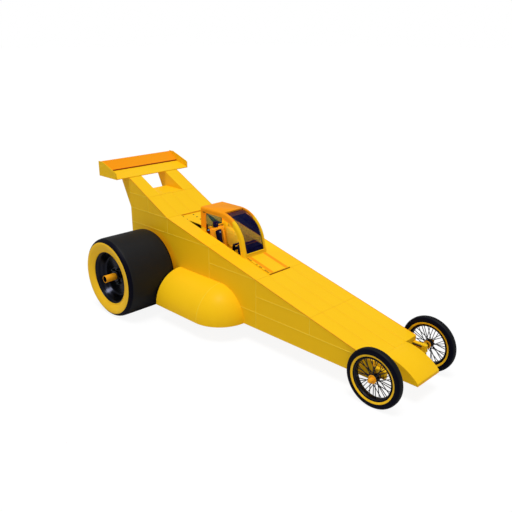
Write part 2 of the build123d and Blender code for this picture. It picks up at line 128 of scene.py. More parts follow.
def cell(sizeMm):
    # texture scale that draws one cell of a pattern at this size
    return 1 / (sizeMm * mm)


# Light: an even pale sky, with one broad soft sun almost overhead
lightSetup = {
    "skyColour": "F6F9FF", "skyStrength": 0.42,
    "sunStrength": 2.0, "sunAngle": 22, "sunFrom": Vector((0.12, -0.24, 1.0)),
}
white = (1, 1, 1, 1)
scene.world = bpy.data.worlds.new("sky")
tree = emptyTree(scene.world)
rays = addNode(tree, "LightPath")
seen = addNode(tree, "Math", {0: rays.outputs["Is Camera Ray"], 1: rays.outputs["Is Transmission Ray"]},
               operation="MAXIMUM")
skyGlow = addNode(tree, "Background", {"Color": linearColour(lightSetup["skyColour"]),
                  "Strength": lightSetup["skyStrength"]})
skyWhite = addNode(tree, "Background", {"Color": white, "Strength": 1.0})
skyMix = addNode(tree, "MixShader", {0: seen, 1: skyGlow, 2: skyWhite})
addNode(tree, "OutputWorld", {"Surface": skyMix})
sun = placeObject("softSun", bpy.data.lights.new("softSun", "SUN"))
sun.data.energy = lightSetup["sunStrength"]
sun.data.angle = math.radians(lightSetup["sunAngle"])
sun.rotation_euler = lightSetup["sunFrom"].to_track_quat("Z", "Y").to_euler()

# A weak fill under the canopy's roof, turned to the far wall, so that the cell reads through its windows
fillSetup = {
    "power": 2.3, "colour": (0.86, 1.0, 1.0), "long": 0.34, "wide": 0.05,
    "place": Vector((-0.46, -0.15, 1.345)), "towards": Vector((0.05, 1.0, -0.2)),
}
cellFill = placeObject("cellFill", bpy.data.lights.new("cellFill", "AREA"))
setAll(cellFill.data, energy=fillSetup["power"], color=fillSetup["colour"], shape="RECTANGLE",
       size=fillSetup["long"], size_y=fillSetup["wide"])
setAll(cellFill, visible_camera=False, visible_glossy=False, visible_transmission=False)
cellFill.location = fillSetup["place"]
cellFill.rotation_euler = fillSetup["towards"].to_track_quat("-Z", "Y").to_euler()

# Floor: plain and pale, and it still takes the car's shadow
floorSetup = {
    "half": 200.0, "deep": "C6C6C6", "pale": "CCCCCC", "grain": 3.0, "glow": 1.13, "glowShare": 0.8,
}
floorMaterial = bpy.data.materials.new("paleFloor")
tree = emptyTree(floorMaterial)
rays = addNode(tree, "LightPath")
grain = addNode(tree, "TexNoise", {"Scale": floorSetup["grain"], "Detail": 2.0})
deep, pale = linearColour(floorSetup["deep"]), linearColour(floorSetup["pale"])
tone = addNode(tree, "Mix", {0: grain, 6: deep, 7: pale}, data_type="RGBA")
matte = addNode(tree, "BsdfDiffuse", {"Color": tone.outputs[2]})
glow = addNode(tree, "Emission", {"Color": white, "Strength": floorSetup["glow"]})
share = addNode(tree, "Math", {0: rays.outputs["Is Camera Ray"], 1: floorSetup["glowShare"]},
                operation="MULTIPLY")
both = addNode(tree, "MixShader", {0: share, 1: matte, 2: glow})
addNode(tree, "OutputMaterial", {"Surface": both})
half = floorSetup["half"]
floorMesh = bpy.data.meshes.new("floor")
corners = [(-half, -half, 0), (half, -half, 0), (half, half, 0), (-half, half, 0)]
floorMesh.from_pydata(corners, [], [(0, 1, 2, 3)])
floorMesh.materials.append(floorMaterial)
placeObject("floor", floorMesh)
print("camera, light and floor placed")


# Sprayed polyurethane enamel over sheet aluminium: an even, warm colour under a thin clear gloss,
# with a faint orange peel. The peel is about 3 mm across and is drawn at 6 mm to show.
def sprayedEnamel(name, deep, light, gloss=0.42, shine=0.08, coat=0.02, peelMm=6.0, driftMm=625.0):
    material, tree, place = startMaterial(name)
    drift = addNode(tree, "TexNoise", {"Vector": place, "Scale": cell(driftMm), "Detail": 3.0})
    peel = addNode(tree, "TexNoise", {"Vector": place, "Scale": cell(peelMm), "Detail": 1.0})
    return finishTones(material, (deep, light), (gloss - 0.05, gloss + 0.05), drift, peel, 0.06, 0.6, {
        "IOR": 1.5, "Specular IOR Level": shine, "Coat Weight": coat, "Coat Roughness": 0.12,
        "Coat IOR": 1.5})


yellowEnamel = sprayedEnamel("yellowEnamel", "FFC514", "FFCB1A", shine=0.06, coat=0.01)
orangeEnamel = sprayedEnamel("orangeEnamel", "FF9A10", "FFA118", shine=0.03, coat=0.0)
# The seam enamel is lighter than the body: a painted highlight on the seam beads.
seamHighlightEnamel = sprayedEnamel("seamHighlightEnamel", "FFDC3C", "FFE048", gloss=0.45)
topSeamEnamel = sprayedEnamel("topSeamEnamel", "F2B01A", "F5B41E", gloss=0.45)
# The edge enamel is a deeper orange: painted shade along folded edges, lips and the cover's rear edge.
edgeShadeEnamel = sprayedEnamel("edgeShadeEnamel", "EE9410", "F49C14", gloss=0.45)
stubEnamel = sprayedEnamel("stubEnamel", "FFA818", "FFB224", gloss=0.36)
# The panel enamel is a duller yellow: painted shade on the cell's walls.
panelShadeEnamel = sprayedEnamel("panelShadeEnamel", "F2C634", "FACE3A", shine=0.04)
# The rust enamel colours the lid latches, and on the lid's hinge rod it is painted shade of the gap at the
# lid's front edge.
rustAndGapShadeEnamel = sprayedEnamel("rustAndGapShadeEnamel", "8A3C0C", "9C4810", gloss=0.5)
redEnamel = sprayedEnamel("redEnamel", "6E0A20", "800F28", gloss=0.5)
gaugeEnamel = sprayedEnamel("gaugeEnamel", "E8E4D8", "F0ECE2", gloss=0.5)


# Moulded rubber: nearly black, with a dry low sheen and a fine pitted skin. The pits are about
# half a millimetre across and are drawn at 2 to 4 mm to show.
def mouldedRubber(name, deep, light, rough=0.58, shine=0.2, pitMm=3.0, dustMm=143.0):
    material, tree, place = startMaterial(name)
    dust = addNode(tree, "TexNoise", {"Vector": place, "Scale": cell(dustMm), "Detail": 5.0})
    pits = addNode(tree, "TexVoronoi", {"Vector": place, "Scale": cell(pitMm)})
    return finishTones(material, (deep, light), (rough - 0.06, rough + 0.08), dust, pits, 0.12, 0.5, {
        "IOR": 1.52, "Specular IOR Level": shine})


treadRubber = mouldedRubber("treadRubber", "101011", "181819")
# The wall rubber is darker than the tread; where it covers the tyres' shoulders it is painted shade.
wallAndShoulderShadeRubber = mouldedRubber("wallAndShoulderShadeRubber", "020210", "060618", rough=0.5, shine=0.07)
narrowRubber = mouldedRubber("narrowRubber", "08080C", "101014", shine=0.14)
sealRubber = mouldedRubber("sealRubber", "06060C", "0C0C14", rough=0.6, shine=0.08, pitMm=2.0)
redSeal = mouldedRubber("redSeal", "8A1A08", "A0240C", shine=0.1)
wallPaint = mouldedRubber("wallPaint", "FFC414", "FFCA1C", rough=0.55, pitMm=4.0)


# Turned metal, blacked, plated or bare: a polished mirror or a satin with fine turning rings. They
# are about 0.4 mm apart and are drawn at 25 mm, and at half that on the front rims, to show.
def turnedMetal(name, deep, light, rough, centre, ringMm=25.13, metallic=1.0):
    material, tree, place = startMaterial(name)
    shift = addNode(tree, "VectorMath", {0: place, 1: centre}, operation="SUBTRACT")
    flat = addNode(tree, "VectorMath", {0: shift, 1: (1, 0, 1)}, operation="MULTIPLY")
    # the wave node draws 20 waves in two pi at a scale of 1
    pattern = {"Vector": flat, "Scale": cell(ringMm) * 2 * math.pi / 20, "Distortion": 0.4, "Detail": 1.0}
    rings = addNode(tree, "TexWave", pattern, wave_type="RINGS", rings_direction="SPHERICAL").outputs[1]
    return finishTones(material, (deep, light), (rough, rough + 0.07), rings, rings, 0.05, 0.3, {
        "Metallic": metallic})


rearCentre = Vector((-1.5, 0, 0.51))
frontCentre = Vector((2.1, 0, 0.31))
dishMetal = turnedMetal("blackAnodised", "1C1D24", "282932", 0.17, rearCentre)
rimMetal = turnedMetal("blackRimEnamel", "0A0A14", "12121E", 0.3, frontCentre, ringMm=12.57, metallic=0.35)
nutMetal = turnedMetal("blackZincSteel", "3C4348", "50585E", 0.24, rearCentre)
studMetal = turnedMetal("polishedSteel", "C9CCD0", "DDE0E4", 0.2, rearCentre)
steelMetal = turnedMetal("groundSteel", "3A3B3F", "4A4B50", 0.34, frontCentre)


# Sand-cast iron under heat-proof black: rough, dull and slightly mottled. The sand grain is
# 0.5 mm and is drawn at 5 mm to show.
def castIron(name, deep, light, sandMm=5.0):
    material, tree, place = startMaterial(name)
    sand = addNode(tree, "TexNoise", {"Vector": place, "Scale": cell(sandMm), "Detail": 4.0})
    return finishTones(material, (deep, light), 0.72, sand, sand, 0.35, 1.0, {"Metallic": 0.4})


blockIron = castIron("blockIron", "2A2A2C", "3A3A3D")


# Upholstery vinyl with a soft black sheen, pressed with a leather grain. The grain is about 1.5 mm
# across and is drawn at 3 mm to show.
def grainedVinyl(name, deep, light, shine, grainMm=3.03, scuffMm=45.45):
    material, tree, place = startMaterial(name)
    grain = addNode(tree, "TexVoronoi", {"Vector": place, "Scale": cell(grainMm)}, feature="DISTANCE_TO_EDGE")
    scuff = addNode(tree, "TexNoise", {"Vector": place, "Scale": cell(scuffMm), "Detail": 4.0})
    return finishTones(material, (deep, light), (0.42, 0.58), scuff, grain, 0.3, 0.6, {
        "IOR": 1.5, "Specular IOR Level": shine, "Sheen Weight": 0.04})


blackVinyl = grainedVinyl("blackVinyl", "040428", "080834", 0.1)
dashVinyl = grainedVinyl("dashVinyl", "03042C", "060836", 0.06)


# Pressed and dyed lens acrylic with small facets; its glow is painted light, standing in for daylight behind
# the lens
def pressedLens(name, deep, light, glow, facetMm=3.33):
    material, tree, place = startMaterial(name)
    facets = addNode(tree, "TexVoronoi", {"Vector": place, "Scale": cell(facetMm)})
    bump = addNode(tree, "Bump", {"Height": facets, "Strength": 0.3, "Distance": 0.5 * mm})
    tone = addNode(tree, "Mix", {0: facets, 6: linearColour(deep), 7: linearColour(light)},
                   data_type="RGBA").outputs[2]
    return finishMaterial(material, {"Base Color": tone, "Roughness": 0.3, "Specular IOR Level": 0.08,
                                     "Emission Color": tone, "Emission Strength": glow, "Normal": bump})


cyanLens = pressedLens("cyanLens", "0090C8", "30B8E8", 0.5)


# Cast acrylic sheet, 4 or 5 mm thick and dyed: see-through with a dark tint and a hard gloss
def tintedAcrylic(name, dye, opacity, band=None, hazeMm=111.0):
    material, tree, place = startMaterial(name)
    haze = addNode(tree, "TexNoise", {"Vector": place, "Scale": cell(hazeMm)})
    rough = addNode(tree, "MapRange", {"Value": haze, "To Min": 0.03, "To Max": 0.09})
    tint = linearColour(dye)
    if band:
        # a darker dye above a line that follows the deck's slope
        part = addNode(tree, "SeparateXYZ", {0: place})
        lift = addNode(tree, "Math", {0: part.outputs[0], 1: band["slope"], 2: part.outputs[2]},
                       operation="MULTIPLY_ADD")
        over = addNode(tree, "MapRange", {"Value": lift, "From Min": band["height"] - 0.002,
                       "From Max": band["height"] + 0.002})
        shades = {0: over, 6: tint, 7: linearColour(band["dye"])}
        tint = addNode(tree, "Mix", shades, data_type="RGBA").outputs[2]
        opacity = addNode(tree, "MapRange", {"Value": over, "To Min": opacity, "To Max": band["opacity"]})
    return finishMaterial(material, {
        "Base Color": tint, "Roughness": rough, "IOR": 1.49, "Specular IOR Level": 0.07, "Alpha": opacity})


screenAcrylic = tintedAcrylic("screenAcrylic", "0C0C3C", 0.5)
sideAcrylic = tintedAcrylic("sideAcrylic", "1C2A30", 0.04,
                            {"dye": "020C1A", "opacity": 0.97, "slope": 0.25, "height": 1.127})
rearAcrylic = tintedAcrylic("rearAcrylic", "33504A", 0.52)
print("materials made")

# Finishes for the CAD pieces, by the material slot each one has in the record
slotFinish = {
    "yellow": yellowEnamel, "orange": orangeEnamel, "pad": blackVinyl, "iron": blockIron, "steel": steelMetal,
    "dark_rim": dishMetal, "tyre": treadRubber, "glass": screenAcrylic, "trim": dashVinyl,
}
nodeFinish = {"seat_shell": stubEnamel}
for entry in frame["record"]["subparts"]:
    materials = frame["nodes"][entry["node"]].data.materials
    materials.clear()
    materials.append(nodeFinish.get(entry["node"], slotFinish[entry["material_slot"]]))


def cleanMesh(name, form):
    # a mesh from a form, which is its points and its faces, with the faces turned outwards
    mesh = bpy.data.meshes.new(name)
    mesh.from_pydata([tuple(p) for p in form[0]], [], form[1])
    cleaner = bmesh.new()
    cleaner.from_mesh(mesh)
    bmesh.ops.recalc_face_normals(cleaner, faces=cleaner.faces)
    cleaner.to_mesh(mesh)
    cleaner.free()
    return mesh


def shadeSmooth(mesh, sharpDeg):
    mesh.polygons.foreach_set("use_smooth", [True] * len(mesh.polygons))
    mesh.set_sharp_from_angle(angle=math.radians(sharpDeg))


def meshPiece(name, form, materials, body="chassis", sharpDeg=30):
    mesh = cleanMesh(name, form)
    for material in materials:
        mesh.materials.append(material)
    shadeSmooth(mesh, sharpDeg)
    piece = placeObject(name, mesh)
    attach(piece, body)
    return piece


def joinForms(forms):
    points, faces = [], []
    for morePoints, moreFaces in forms:
        faces += [[len(points) + n for n in face] for face in moreFaces]
        points += morePoints
    return points, faces


def aroundAxle(turn, radius, across):
    # an offset from a wheel's centre, from mm
    return Vector((radius * math.sin(turn), across, radius * math.cos(turn))) * mm


def ringFaces(here, there, count):
    # four-sided faces between two rings of places
    rounds = [(n, (n + 1) % count) for n in range(count)]
    return [(here + n, here + after, there + after, there + n) for n, after in rounds]


def loftForm(rings, closed=False):
    # a skin over rings of places, run on round to the first ring or capped at both ends
    count = len(rings[0])
    last = (len(rings) - 1) * count
    faces = []
    for here in range(0, last, count):
        faces += ringFaces(here, here + count, count)
    faces += ringFaces(last, 0, count) if closed else [range(count), range(last, last + count)]
    return [place for ring in rings for place in ring], faces


def turnsRound(steps):
    return [2 * math.pi * step / steps for step in range(steps)]


def quarterTurn(steps):
    return [math.pi / 2 * step / steps for step in range(steps + 1)]


def spinForm(profile, centre, side, steps):
    # a closed (across, radius) profile, in mm, spun about a cross axis
    return loftForm([[centre + aroundAxle(turn, radius, side * across) for across, radius in profile]
                     for turn in turnsRound(steps)], closed=True)


def lathePiece(name, profile, centre, side, steps, materials, body, pick=None, sharpDeg=30):
    # pick gives each stretch of the profile its material number
    piece = meshPiece(name, spinForm(profile, centre, side, steps), materials, body, sharpDeg)
    if pick:
        numbers = [pick(one, two) for one, two in zip(profile, profile[1:] + profile[:1])]
        piece.data.polygons.foreach_set("material_index", numbers * steps)
        piece.data.update()
    return piece


def ringAbout(place, across, other, radiusMm, sides):
    return [Vector(place) + (across * math.cos(turn) + other * math.sin(turn)) * (radiusMm * mm)
            for turn in turnsRound(sides)]


def rodForm(start, end, radiusMm, sides=16):
    # a round rod with flat ends
    start, end = Vector(start), Vector(end)
    run = (end - start).normalized()
    across = run.orthogonal().normalized()
    return loftForm([ringAbout(place, across, run.cross(across), radiusMm, sides) for place in (start, end)])


def boxForm(low, high):
    xs, ys, zs = zip(low, high)
    points = [Vector((x, y, z)) for x in xs for y in ys for z in zs]
    return points, [(0, 1, 3, 2), (4, 6, 7, 5), (0, 4, 5, 1), (2, 3, 7, 6), (0, 2, 6, 4), (1, 5, 7, 3)]


def ribbonForm(outer, inner, y0, y1):
    # a closed sheet between two runs of (x, z) places, from one y to another
    points, faces = [], []
    for x, z in outer + inner:
        points += [Vector((x, y0, z)), Vector((x, y1, z))]
    count = len(outer)
    for k in range(count - 1):
        a, b = 2 * k, 2 * (k + count)
        faces += [(a, a + 1, a + 3, a + 2), (b, b + 2, b + 3, b + 1),
                  (a, a + 2, b + 2, b), (a + 1, b + 1, b + 3, a + 3)]
    last = 2 * (count - 1)
    faces += [(0, 2 * count, 2 * count + 1, 1), (last, last + 1, last + 1 + 2 * count, last + 2 * count)]
    return points, faces


def beadPiece(name, runs, radiusMm, material, body="chassis", closed=False):
    # round beads laid along runs of places, as one mesh
    beads = []
    for run in runs:
        count = len(run)
        rings = []
        for k, place in enumerate(run):
            ahead = run[(k + 1) % count] if closed or k + 1 < count else place
            behind = run[k - 1] if closed or k > 0 else place
            along = (Vector(ahead) - Vector(behind)).normalized()
            # each ring keeps the last one's twist, so the bead doesn't wring
            across = across - along * across.dot(along) if k else along.orthogonal()
            across.normalize()
            rings.append(ringAbout(place, across, along.cross(across), radiusMm, 6))
        beads.append(loftForm(rings, closed))
    return meshPiece(name, joinForms(beads), [material], body)


def crossRun(x, z, half):
    # a straight run from the right side to the left
    return [(x, -half, z), (x, half, z)]


def sidePair(side, a, b):
    # two distances from the centre plane as rising y places on one side
    return sorted((side * a, side * b))


# Body lines: the side panels' outline, and the stations where the sheets join
bodyLine = {
    "frontX": 2.0, "tailX": -2.0, "half": 0.4, "under": 0.21, "frontTop": 0.41, "hoodSlope": 0.25,
    "bendX": -1.2, "tailSlope": 0.5, "joints": [1.2, 0.4, -0.4, -1.2, -1.6], "rows": [-0.2, 0.0, 0.2],
}


def topLine(x):
    # height of the body's top at a station
    rise = bodyLine["hoodSlope"] * (bodyLine["frontX"] - max(x, bodyLine["bendX"]))
    return bodyLine["frontTop"] + rise + bodyLine["tailSlope"] * max(0, bodyLine["bendX"] - x)


def topStation(z):
    # station where a level meets the sloping top
    bend = topLine(bodyLine["bendX"])
    if z > bend:
        return bodyLine["bendX"] - (z - bend) / bodyLine["tailSlope"]
    return min(bodyLine["frontX"], bodyLine["frontX"] - (z - bodyLine["frontTop"]) / bodyLine["hoodSlope"])


# Body seams: each sheet's joint, a bead just proud of the sheet, lighter than the sheet as a painted
# highlight.
# An upright is its station and foot; a course is its height and rear end.
seams = {
    "uprights": [(1.2, 0.41), (0.4, 0.21), (-0.4, 0.21), (-1.2, 1.01), (-1.6, 1.21), (-1.998, 1.41)],
    "courses": [(0.41, -0.4), (0.61, 0.4), (0.81, -0.4), (1.01, -2.0), (1.21, -2.0), (1.41, -2.0)],
    "proud": 0.2 * mm, "short": 0.002, "tip": 0.01, "cellHalf": 0.2, "sideBead": 2.6, "topBead": 1.6,
    "cornerBead": 3.4,
}
half = bodyLine["half"]
hoodJoint, cowlJoint, cellJoint, bendJoint, finJoint = bodyLine["joints"]
sideRuns = []
for side in (-1, 1):
    y = side * (half + seams["proud"])
    sideRuns += [[(x, y, foot), (x, y, topLine(x) - seams["short"])] for x, foot in seams["uprights"]]
    sideRuns += [[(start, y, z), (topStation(z) - seams["tip"], y, z)] for z, start in seams["courses"]]
beadPiece("side_seams", sideRuns, seams["sideBead"], seamHighlightEnamel)
topRuns = [crossRun(x, topLine(x), half) for x in (hoodJoint, cowlJoint, bendJoint, finJoint)]
cellTop = topLine(cellJoint)
topRuns += [[(cellJoint, side * y, cellTop) for y in (seams["cellHalf"], half)] for side in (-1, 1)]
for y in bodyLine["rows"]:
    for low, high in ((cowlJoint, bodyLine["frontX"]), (finJoint, bendJoint)):
        topRuns.append([(low, y, topLine(low)), (high, y, topLine(high))])
beadPiece("top_seams", topRuns, seams["topBead"], topSeamEnamel)
print("body seams laid")

# Side pods: smooth quarter bars with domed fronts, and a seam where each dome is joined on, lighter as a
# painted highlight
pods = {
    "radius": 400, "rear": -975, "dome": -200, "wall": 400, "floor": 210, "arcSteps": 28, "domeSteps": 20,
    "bead": 2.6,
}
steps = pods["arcSteps"]
stations = [(pods["rear"], pods["radius"])]
for turn in quarterTurn(pods["domeSteps"])[:-1]:
    stations.append((pods["dome"] + pods["radius"] * math.sin(turn), pods["radius"] * math.cos(turn)))


def podArc(x, radius, side):
    return [Vector((x, side * (pods["wall"] + radius * math.cos(turn)),
                    pods["floor"] + radius * math.sin(turn))) * mm for turn in quarterTurn(steps)]


for side, word in bothSides:
    points, faces = [], []
    for x, radius in stations:
        points += podArc(x, radius, side)
    tip, corner = len(points), len(points) + 1
    for x in [pods["dome"] + pods["radius"]] + [x for x, radius in stations]:
        points.append(Vector((x, side * pods["wall"], pods["floor"])) * mm)
    for row in range(len(stations) - 1):
        a, b = row * (steps + 1), (row + 1) * (steps + 1)
        faces += [(a + k, a + k + 1, b + k + 1, b + k) for k in range(steps)]
        faces.append((a, b, corner + row + 1, corner + row))
        faces.append((a + steps, corner + row, corner + row + 1, b + steps))
    last, end = (len(stations) - 1) * (steps + 1), corner + len(stations) - 1
    faces += [(last + k, last + k + 1, tip) for k in range(steps)]
    faces += [(last, tip, end), (last + steps, end, tip)]
    faces += [(k, k + 1, corner) for k in range(steps)]
    pod = meshPiece(f"pod_skin_{word}", (points, faces), [yellowEnamel], sharpDeg=40)
    if side > 0:
        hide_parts("pods")
podRuns = [podArc(pods["dome"], pods["radius"], side) for side in (1, -1)]
beadPiece("pod_seams", podRuns, pods["bead"], seamHighlightEnamel)
print("pods shaped")


def mirrorRun(run):
    # half a tyre's section, from its middle round to the bead, and the same on the other side
    return run + [(-across, radius) for across, radius in reversed(run[1:])]


# Rear slicks: wide flat tread, rounded shoulders, a painted ring on each side wall
slick = {
    "centreY": 805, "steps": 128, "bore": 400, "treadEdge": 305, "wallTop": 469,
    "half": [(0, 510), (150, 510), (250, 509.6), (285, 508), (305, 504), (322, 496), (335, 485), (343, 474),
             (348, 466), (350, 450), (348, 428), (341, 402), (331, 375), (326, 362), (321, 356),
             (325, 350), (323, 342), (314, 336.4)],
}


def pickSlick(one, two):
    # tread 0; bare wall, bore and shoulders 1, the darker rubber on the shoulders being painted shade;
    # painted wall 2
    if abs(one[0] - two[0]) > slick["bore"]:
        return 1
    if (one[1] + two[1]) / 2 <= slick["wallTop"]:
        return 2
    return 0 if max(abs(one[0]), abs(two[0])) <= slick["treadEdge"] else 1


def wheelCentre(centre, side, y):
    return Vector((centre.x, side * y * mm, centre.z))


for side, word in bothSides:
    centre = wheelCentre(rearCentre, side, slick["centreY"])
    tyre = lathePiece(f"slick_{word}", mirrorRun(slick["half"]), centre, side, slick["steps"],
                      [treadRubber, wallAndShoulderShadeRubber, wallPaint], "rear_axle", pickSlick)
    if side > 0:
        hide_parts("rear_tyres")

# Rear rims: rolled lip, deep spun dish, hub disc with its boss; and a bored hub stub
dish = {
    "steps": 96,
    "profile": [(-313, 336), (313, 336), (317, 334.5), (318.5, 331), (317, 327.5), (313, 326), (307, 320),
                (290, 308), (262, 294), (228, 277), (206, 266), (198.5, 261.5), (195.6, 256), (195, 248),
                (195, 124), (197, 119), (201, 117), (201, 84), (203.5, 79), (209, 76), (231, 72.5), (235, 69),
                (235, 1), (181, 1), (181, 320), (170, 328), (-313, 328)],
}
stub = {
    "steps": 48, "bore": 40,
    "profile": [(232, 44), (238, 46), (382, 46), (385, 44.5), (385, 41.5), (384, 40), (310, 40), (310, 1),
                (232, 1)],
}
nut = {
    "count": 5, "circle": 100, "turn": 0.3, "base": 201, "root": 1, "across": 26, "height": 20,
    "stud": 8, "studHeight": 32, "washer": 0.68, "washerHeight": 3,
}


def pickStub(one, two):
    return 1 if max(one[1], two[1]) <= stub["bore"] else 0


for side, word in bothSides:
    centre = wheelCentre(rearCentre, side, slick["centreY"])
    rim = lathePiece(f"dish_rim_{word}", dish["profile"], centre, side, dish["steps"], [dishMetal],
                     "rear_axle", sharpDeg=35)
    hub = lathePiece(f"hub_stub_{word}", stub["profile"], centre, side, stub["steps"],
                     [stubEnamel, sealRubber], "rear_axle", pickStub, sharpDeg=35)
    rods = []
    for turn in turnsRound(nut["count"]):
        place = centre + aroundAxle(turn + nut["turn"], nut["circle"], side * nut["base"])
        for radius, height, sides in ((nut["across"] / 2 / math.cos(math.pi / 6), nut["height"], 6),
                                      (nut["stud"], nut["studHeight"], 12),
                                      (nut["across"] * nut["washer"], nut["washerHeight"], 20)):
            rods.append(rodForm(place - Vector((0, side * nut["root"] * mm, 0)),
                                place + Vector((0, side * height * mm, 0)), radius, sides))
    meshPiece(f"lug_nuts_{word}", joinForms(rods), [nutMetal], "rear_axle", sharpDeg=25)
    if side > 0:
        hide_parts("rear_rims")
        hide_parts("rear_hub_stubs")
print("rear wheels made")

# Front wheels: thin round tyre, black hollow rim, 36 laced wire spokes, orange hub rings and cap
wire = {
    "centreY": 500, "steps": 112, "hubSteps": 48, "trimSteps": 64,
    "tyre": [(0, 310), (14, 309.6), (24, 307.4), (32, 302), (38, 293), (41, 282), (42, 268), (41, 253),
             (40.9, 251.6), (33.4, 230.4), (32, 229.2), (31.4, 222), (31, 217), (28, 214.2)],
    "bore": 45, "stripeLow": 230, "stripeHigh": 251.6, "treadLow": 300,
    "rim": [(-28, 214), (28, 214), (31, 215.5), (33, 214.5), (33.2, 211), (31, 208), (24, 205), (14, 202.5),
            (0, 202), (-14, 202.5), (-24, 205), (-31, 208), (-33.2, 211), (-33, 214.5), (-31, 215.5)],
    "hub": [(-30, 26), (-30, 37), (-24, 38), (-22, 36), (-20, 28), (-12, 24), (12, 24), (20, 28), (22, 36),
            (24, 38), (30, 37), (30, 26), (30, 12.2), (-30, 12.2)],
    "ring": [(30, 28), (30, 44), (31.5, 45), (35, 45), (36, 43.5), (36, 28)],
    "cap": [(30, 2), (30, 25), (36, 26), (40, 25), (42, 22), (78, 22), (82, 20), (83.5, 16), (83.5, 2)],
    "spokes": 36, "spokeRadius": 4.2, "leanDeg": 36, "nipple": 4.4, "nippleLong": 0.016,
    "flange": 34, "flangeY": 23, "layer": 3.2, "rimHole": 205, "rimHoleY": 5,
}


def pickFront(one, two):
    # tread 0; bare wall, bore and shoulders 1, the darker rubber on the shoulders being painted shade;
    # painted line 2
    radius = (one[1] + two[1]) / 2
    if abs(one[0] - two[0]) <= wire["bore"] and wire["stripeLow"] < radius < wire["stripeHigh"]:
        return 2
    return 0 if radius > wire["treadLow"] else 1


for side, word in bothSides:
    body = f"front_wheel_{word}"
    centre = wheelCentre(frontCentre, side, wire["centreY"])
    tyre = lathePiece(f"thin_tyre_{word}", mirrorRun(wire["tyre"]), centre, side, wire["steps"],
                      [narrowRubber, wallAndShoulderShadeRubber, wallPaint], body, pickFront)
    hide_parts(f"front_tyre_{word}")
    parts = [spinForm(wire["rim"], centre, side, wire["steps"]),
             spinForm(wire["hub"], centre, side, wire["hubSteps"])]
    for k, rimTurn in enumerate(turnsRound(wire["spokes"])):
        end = side if k % 2 else -side
        layer = 1 if k // 2 % 2 else -1
        hubTurn = rimTurn + layer * math.radians(wire["leanDeg"])
        start = centre + aroundAxle(hubTurn, wire["flange"], end * (wire["flangeY"] + layer * wire["layer"]))
        tip = centre + aroundAxle(rimTurn, wire["rimHole"], end * wire["rimHoleY"])
        near = tip + (start - tip).normalized() * wire["nippleLong"]
        parts += [rodForm(start, tip, wire["spokeRadius"], 6), rodForm(near, tip, wire["nipple"], 6)]
    wheel = meshPiece(f"wire_wheel_{word}", joinForms(parts), [rimMetal], body)
    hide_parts(f"front_wheel_{word}")
    parts = [spinForm(wire[form], centre, way, wire["trimSteps"])
             for form, way in (("ring", side), ("ring", -side), ("cap", side))]
    trim = meshPiece(f"hub_trim_{word}", joinForms(parts), [stubEnamel], body)
    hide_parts(f"front_hub_trim_{word}")
print("front wheels made")

# Cowl lid: two painted bands and its latches, as thin sheets on its top
lid = {
    "rear": 0.024, "front": 0.392, "height": 0.015, "bandNear": 0.098, "bandFar": 0.146, "sunk": 0.0004,
    "bandSkin": 0.0006, "latchSkin": 0.0008, "latchNear": 0.170, "latchFar": 0.158,
    "latches": [(0.026, 0.095), (0.170, 0.190), (0.223, 0.266), (0.310, 0.378)],
    "hingeX": 0.3985, "hingeZ": 0.003, "hingeRadius": 5.0, "half": 0.172,
}


def lidSheet(x0, x1, y0, y1, lift):
    base = [(x, y, topLine(x) + lid["height"]) for x, y in ((x0, y0), (x1, y0), (x1, y1), (x0, y1))]
    points = [Vector((x, y, z + rise)) for rise in (-lid["sunk"], lift) for x, y, z in base]
    return points, [(0, 1, 2, 3), (4, 5, 6, 7), (0, 1, 5, 4), (1, 2, 6, 5), (2, 3, 7, 6), (3, 0, 4, 7)]


bands = [lidSheet(lid["rear"], lid["front"], *sidePair(side, lid["bandNear"], lid["bandFar"]),
                  lid["bandSkin"]) for side in (-1, 1)]
meshPiece("lid_bands", joinForms(bands), [orangeEnamel], "lid")
latches = [lidSheet(x0, x1, -lid["latchNear"], -lid["latchFar"], lid["latchSkin"])
           for x0, x1 in lid["latches"]]
meshPiece("lid_latches", joinForms(latches), [rustAndGapShadeEnamel], "lid")
print("lid dressed")

# Folded and welded sheet has a small radius at each edge, in mm: the CAD panels get it as a bevel
softEdges = {
    "canopy_front_frame": 4.0, "wing_end_plates": 1.5, "wing_plane": 2.5, "wing_flap": 2.0, "fins": 3.0,
    "seat_shell": 9.0, "dash": 8.0, "front_arms": 3.0, "cowl_lid": 3.0, "hood": 1.2, "tail_deck": 1.2,
    "nose": 2.0, "engine": 8.0, "engine_cover": 1.0,
}


def addModifier(piece, kind, **settings):
    return setAll(piece.modifiers.new(kind, kind), **settings)


def weldPoints(piece):
    addModifier(piece, "WELD", merge_threshold=0.05 * mm)


def softenEdges(piece, widthMm):
    weldPoints(piece)
    addModifier(piece, "BEVEL", width=widthMm * mm, segments=3, limit_method="ANGLE",
                angle_limit=math.radians(28), use_clamp_overlap=True)


def freezeModifiers(piece):
    # the evaluated mesh takes the place of the piece's own
    graph = bpy.context.evaluated_depsgraph_get()
    frozen = bpy.data.meshes.new_from_object(piece.evaluated_get(graph))
    piece.modifiers.clear()
    piece.data = frozen


for name, widthMm in softEdges.items():
    softenEdges(frame["nodes"][name], widthMm)
print("panel edges softened")

# Corner seams: beads on the folded edges where the top meets the sides, in a deeper orange that is painted
# shade
corners = [bodyLine["frontX"]] + bodyLine["joints"] + [bodyLine["tailX"]]
cornerRuns = [[(x, side * half, topLine(x)) for x in corners] for side in (-1, 1)]
beadPiece("corner_seams", cornerRuns, seams["cornerBead"], edgeShadeEnamel)

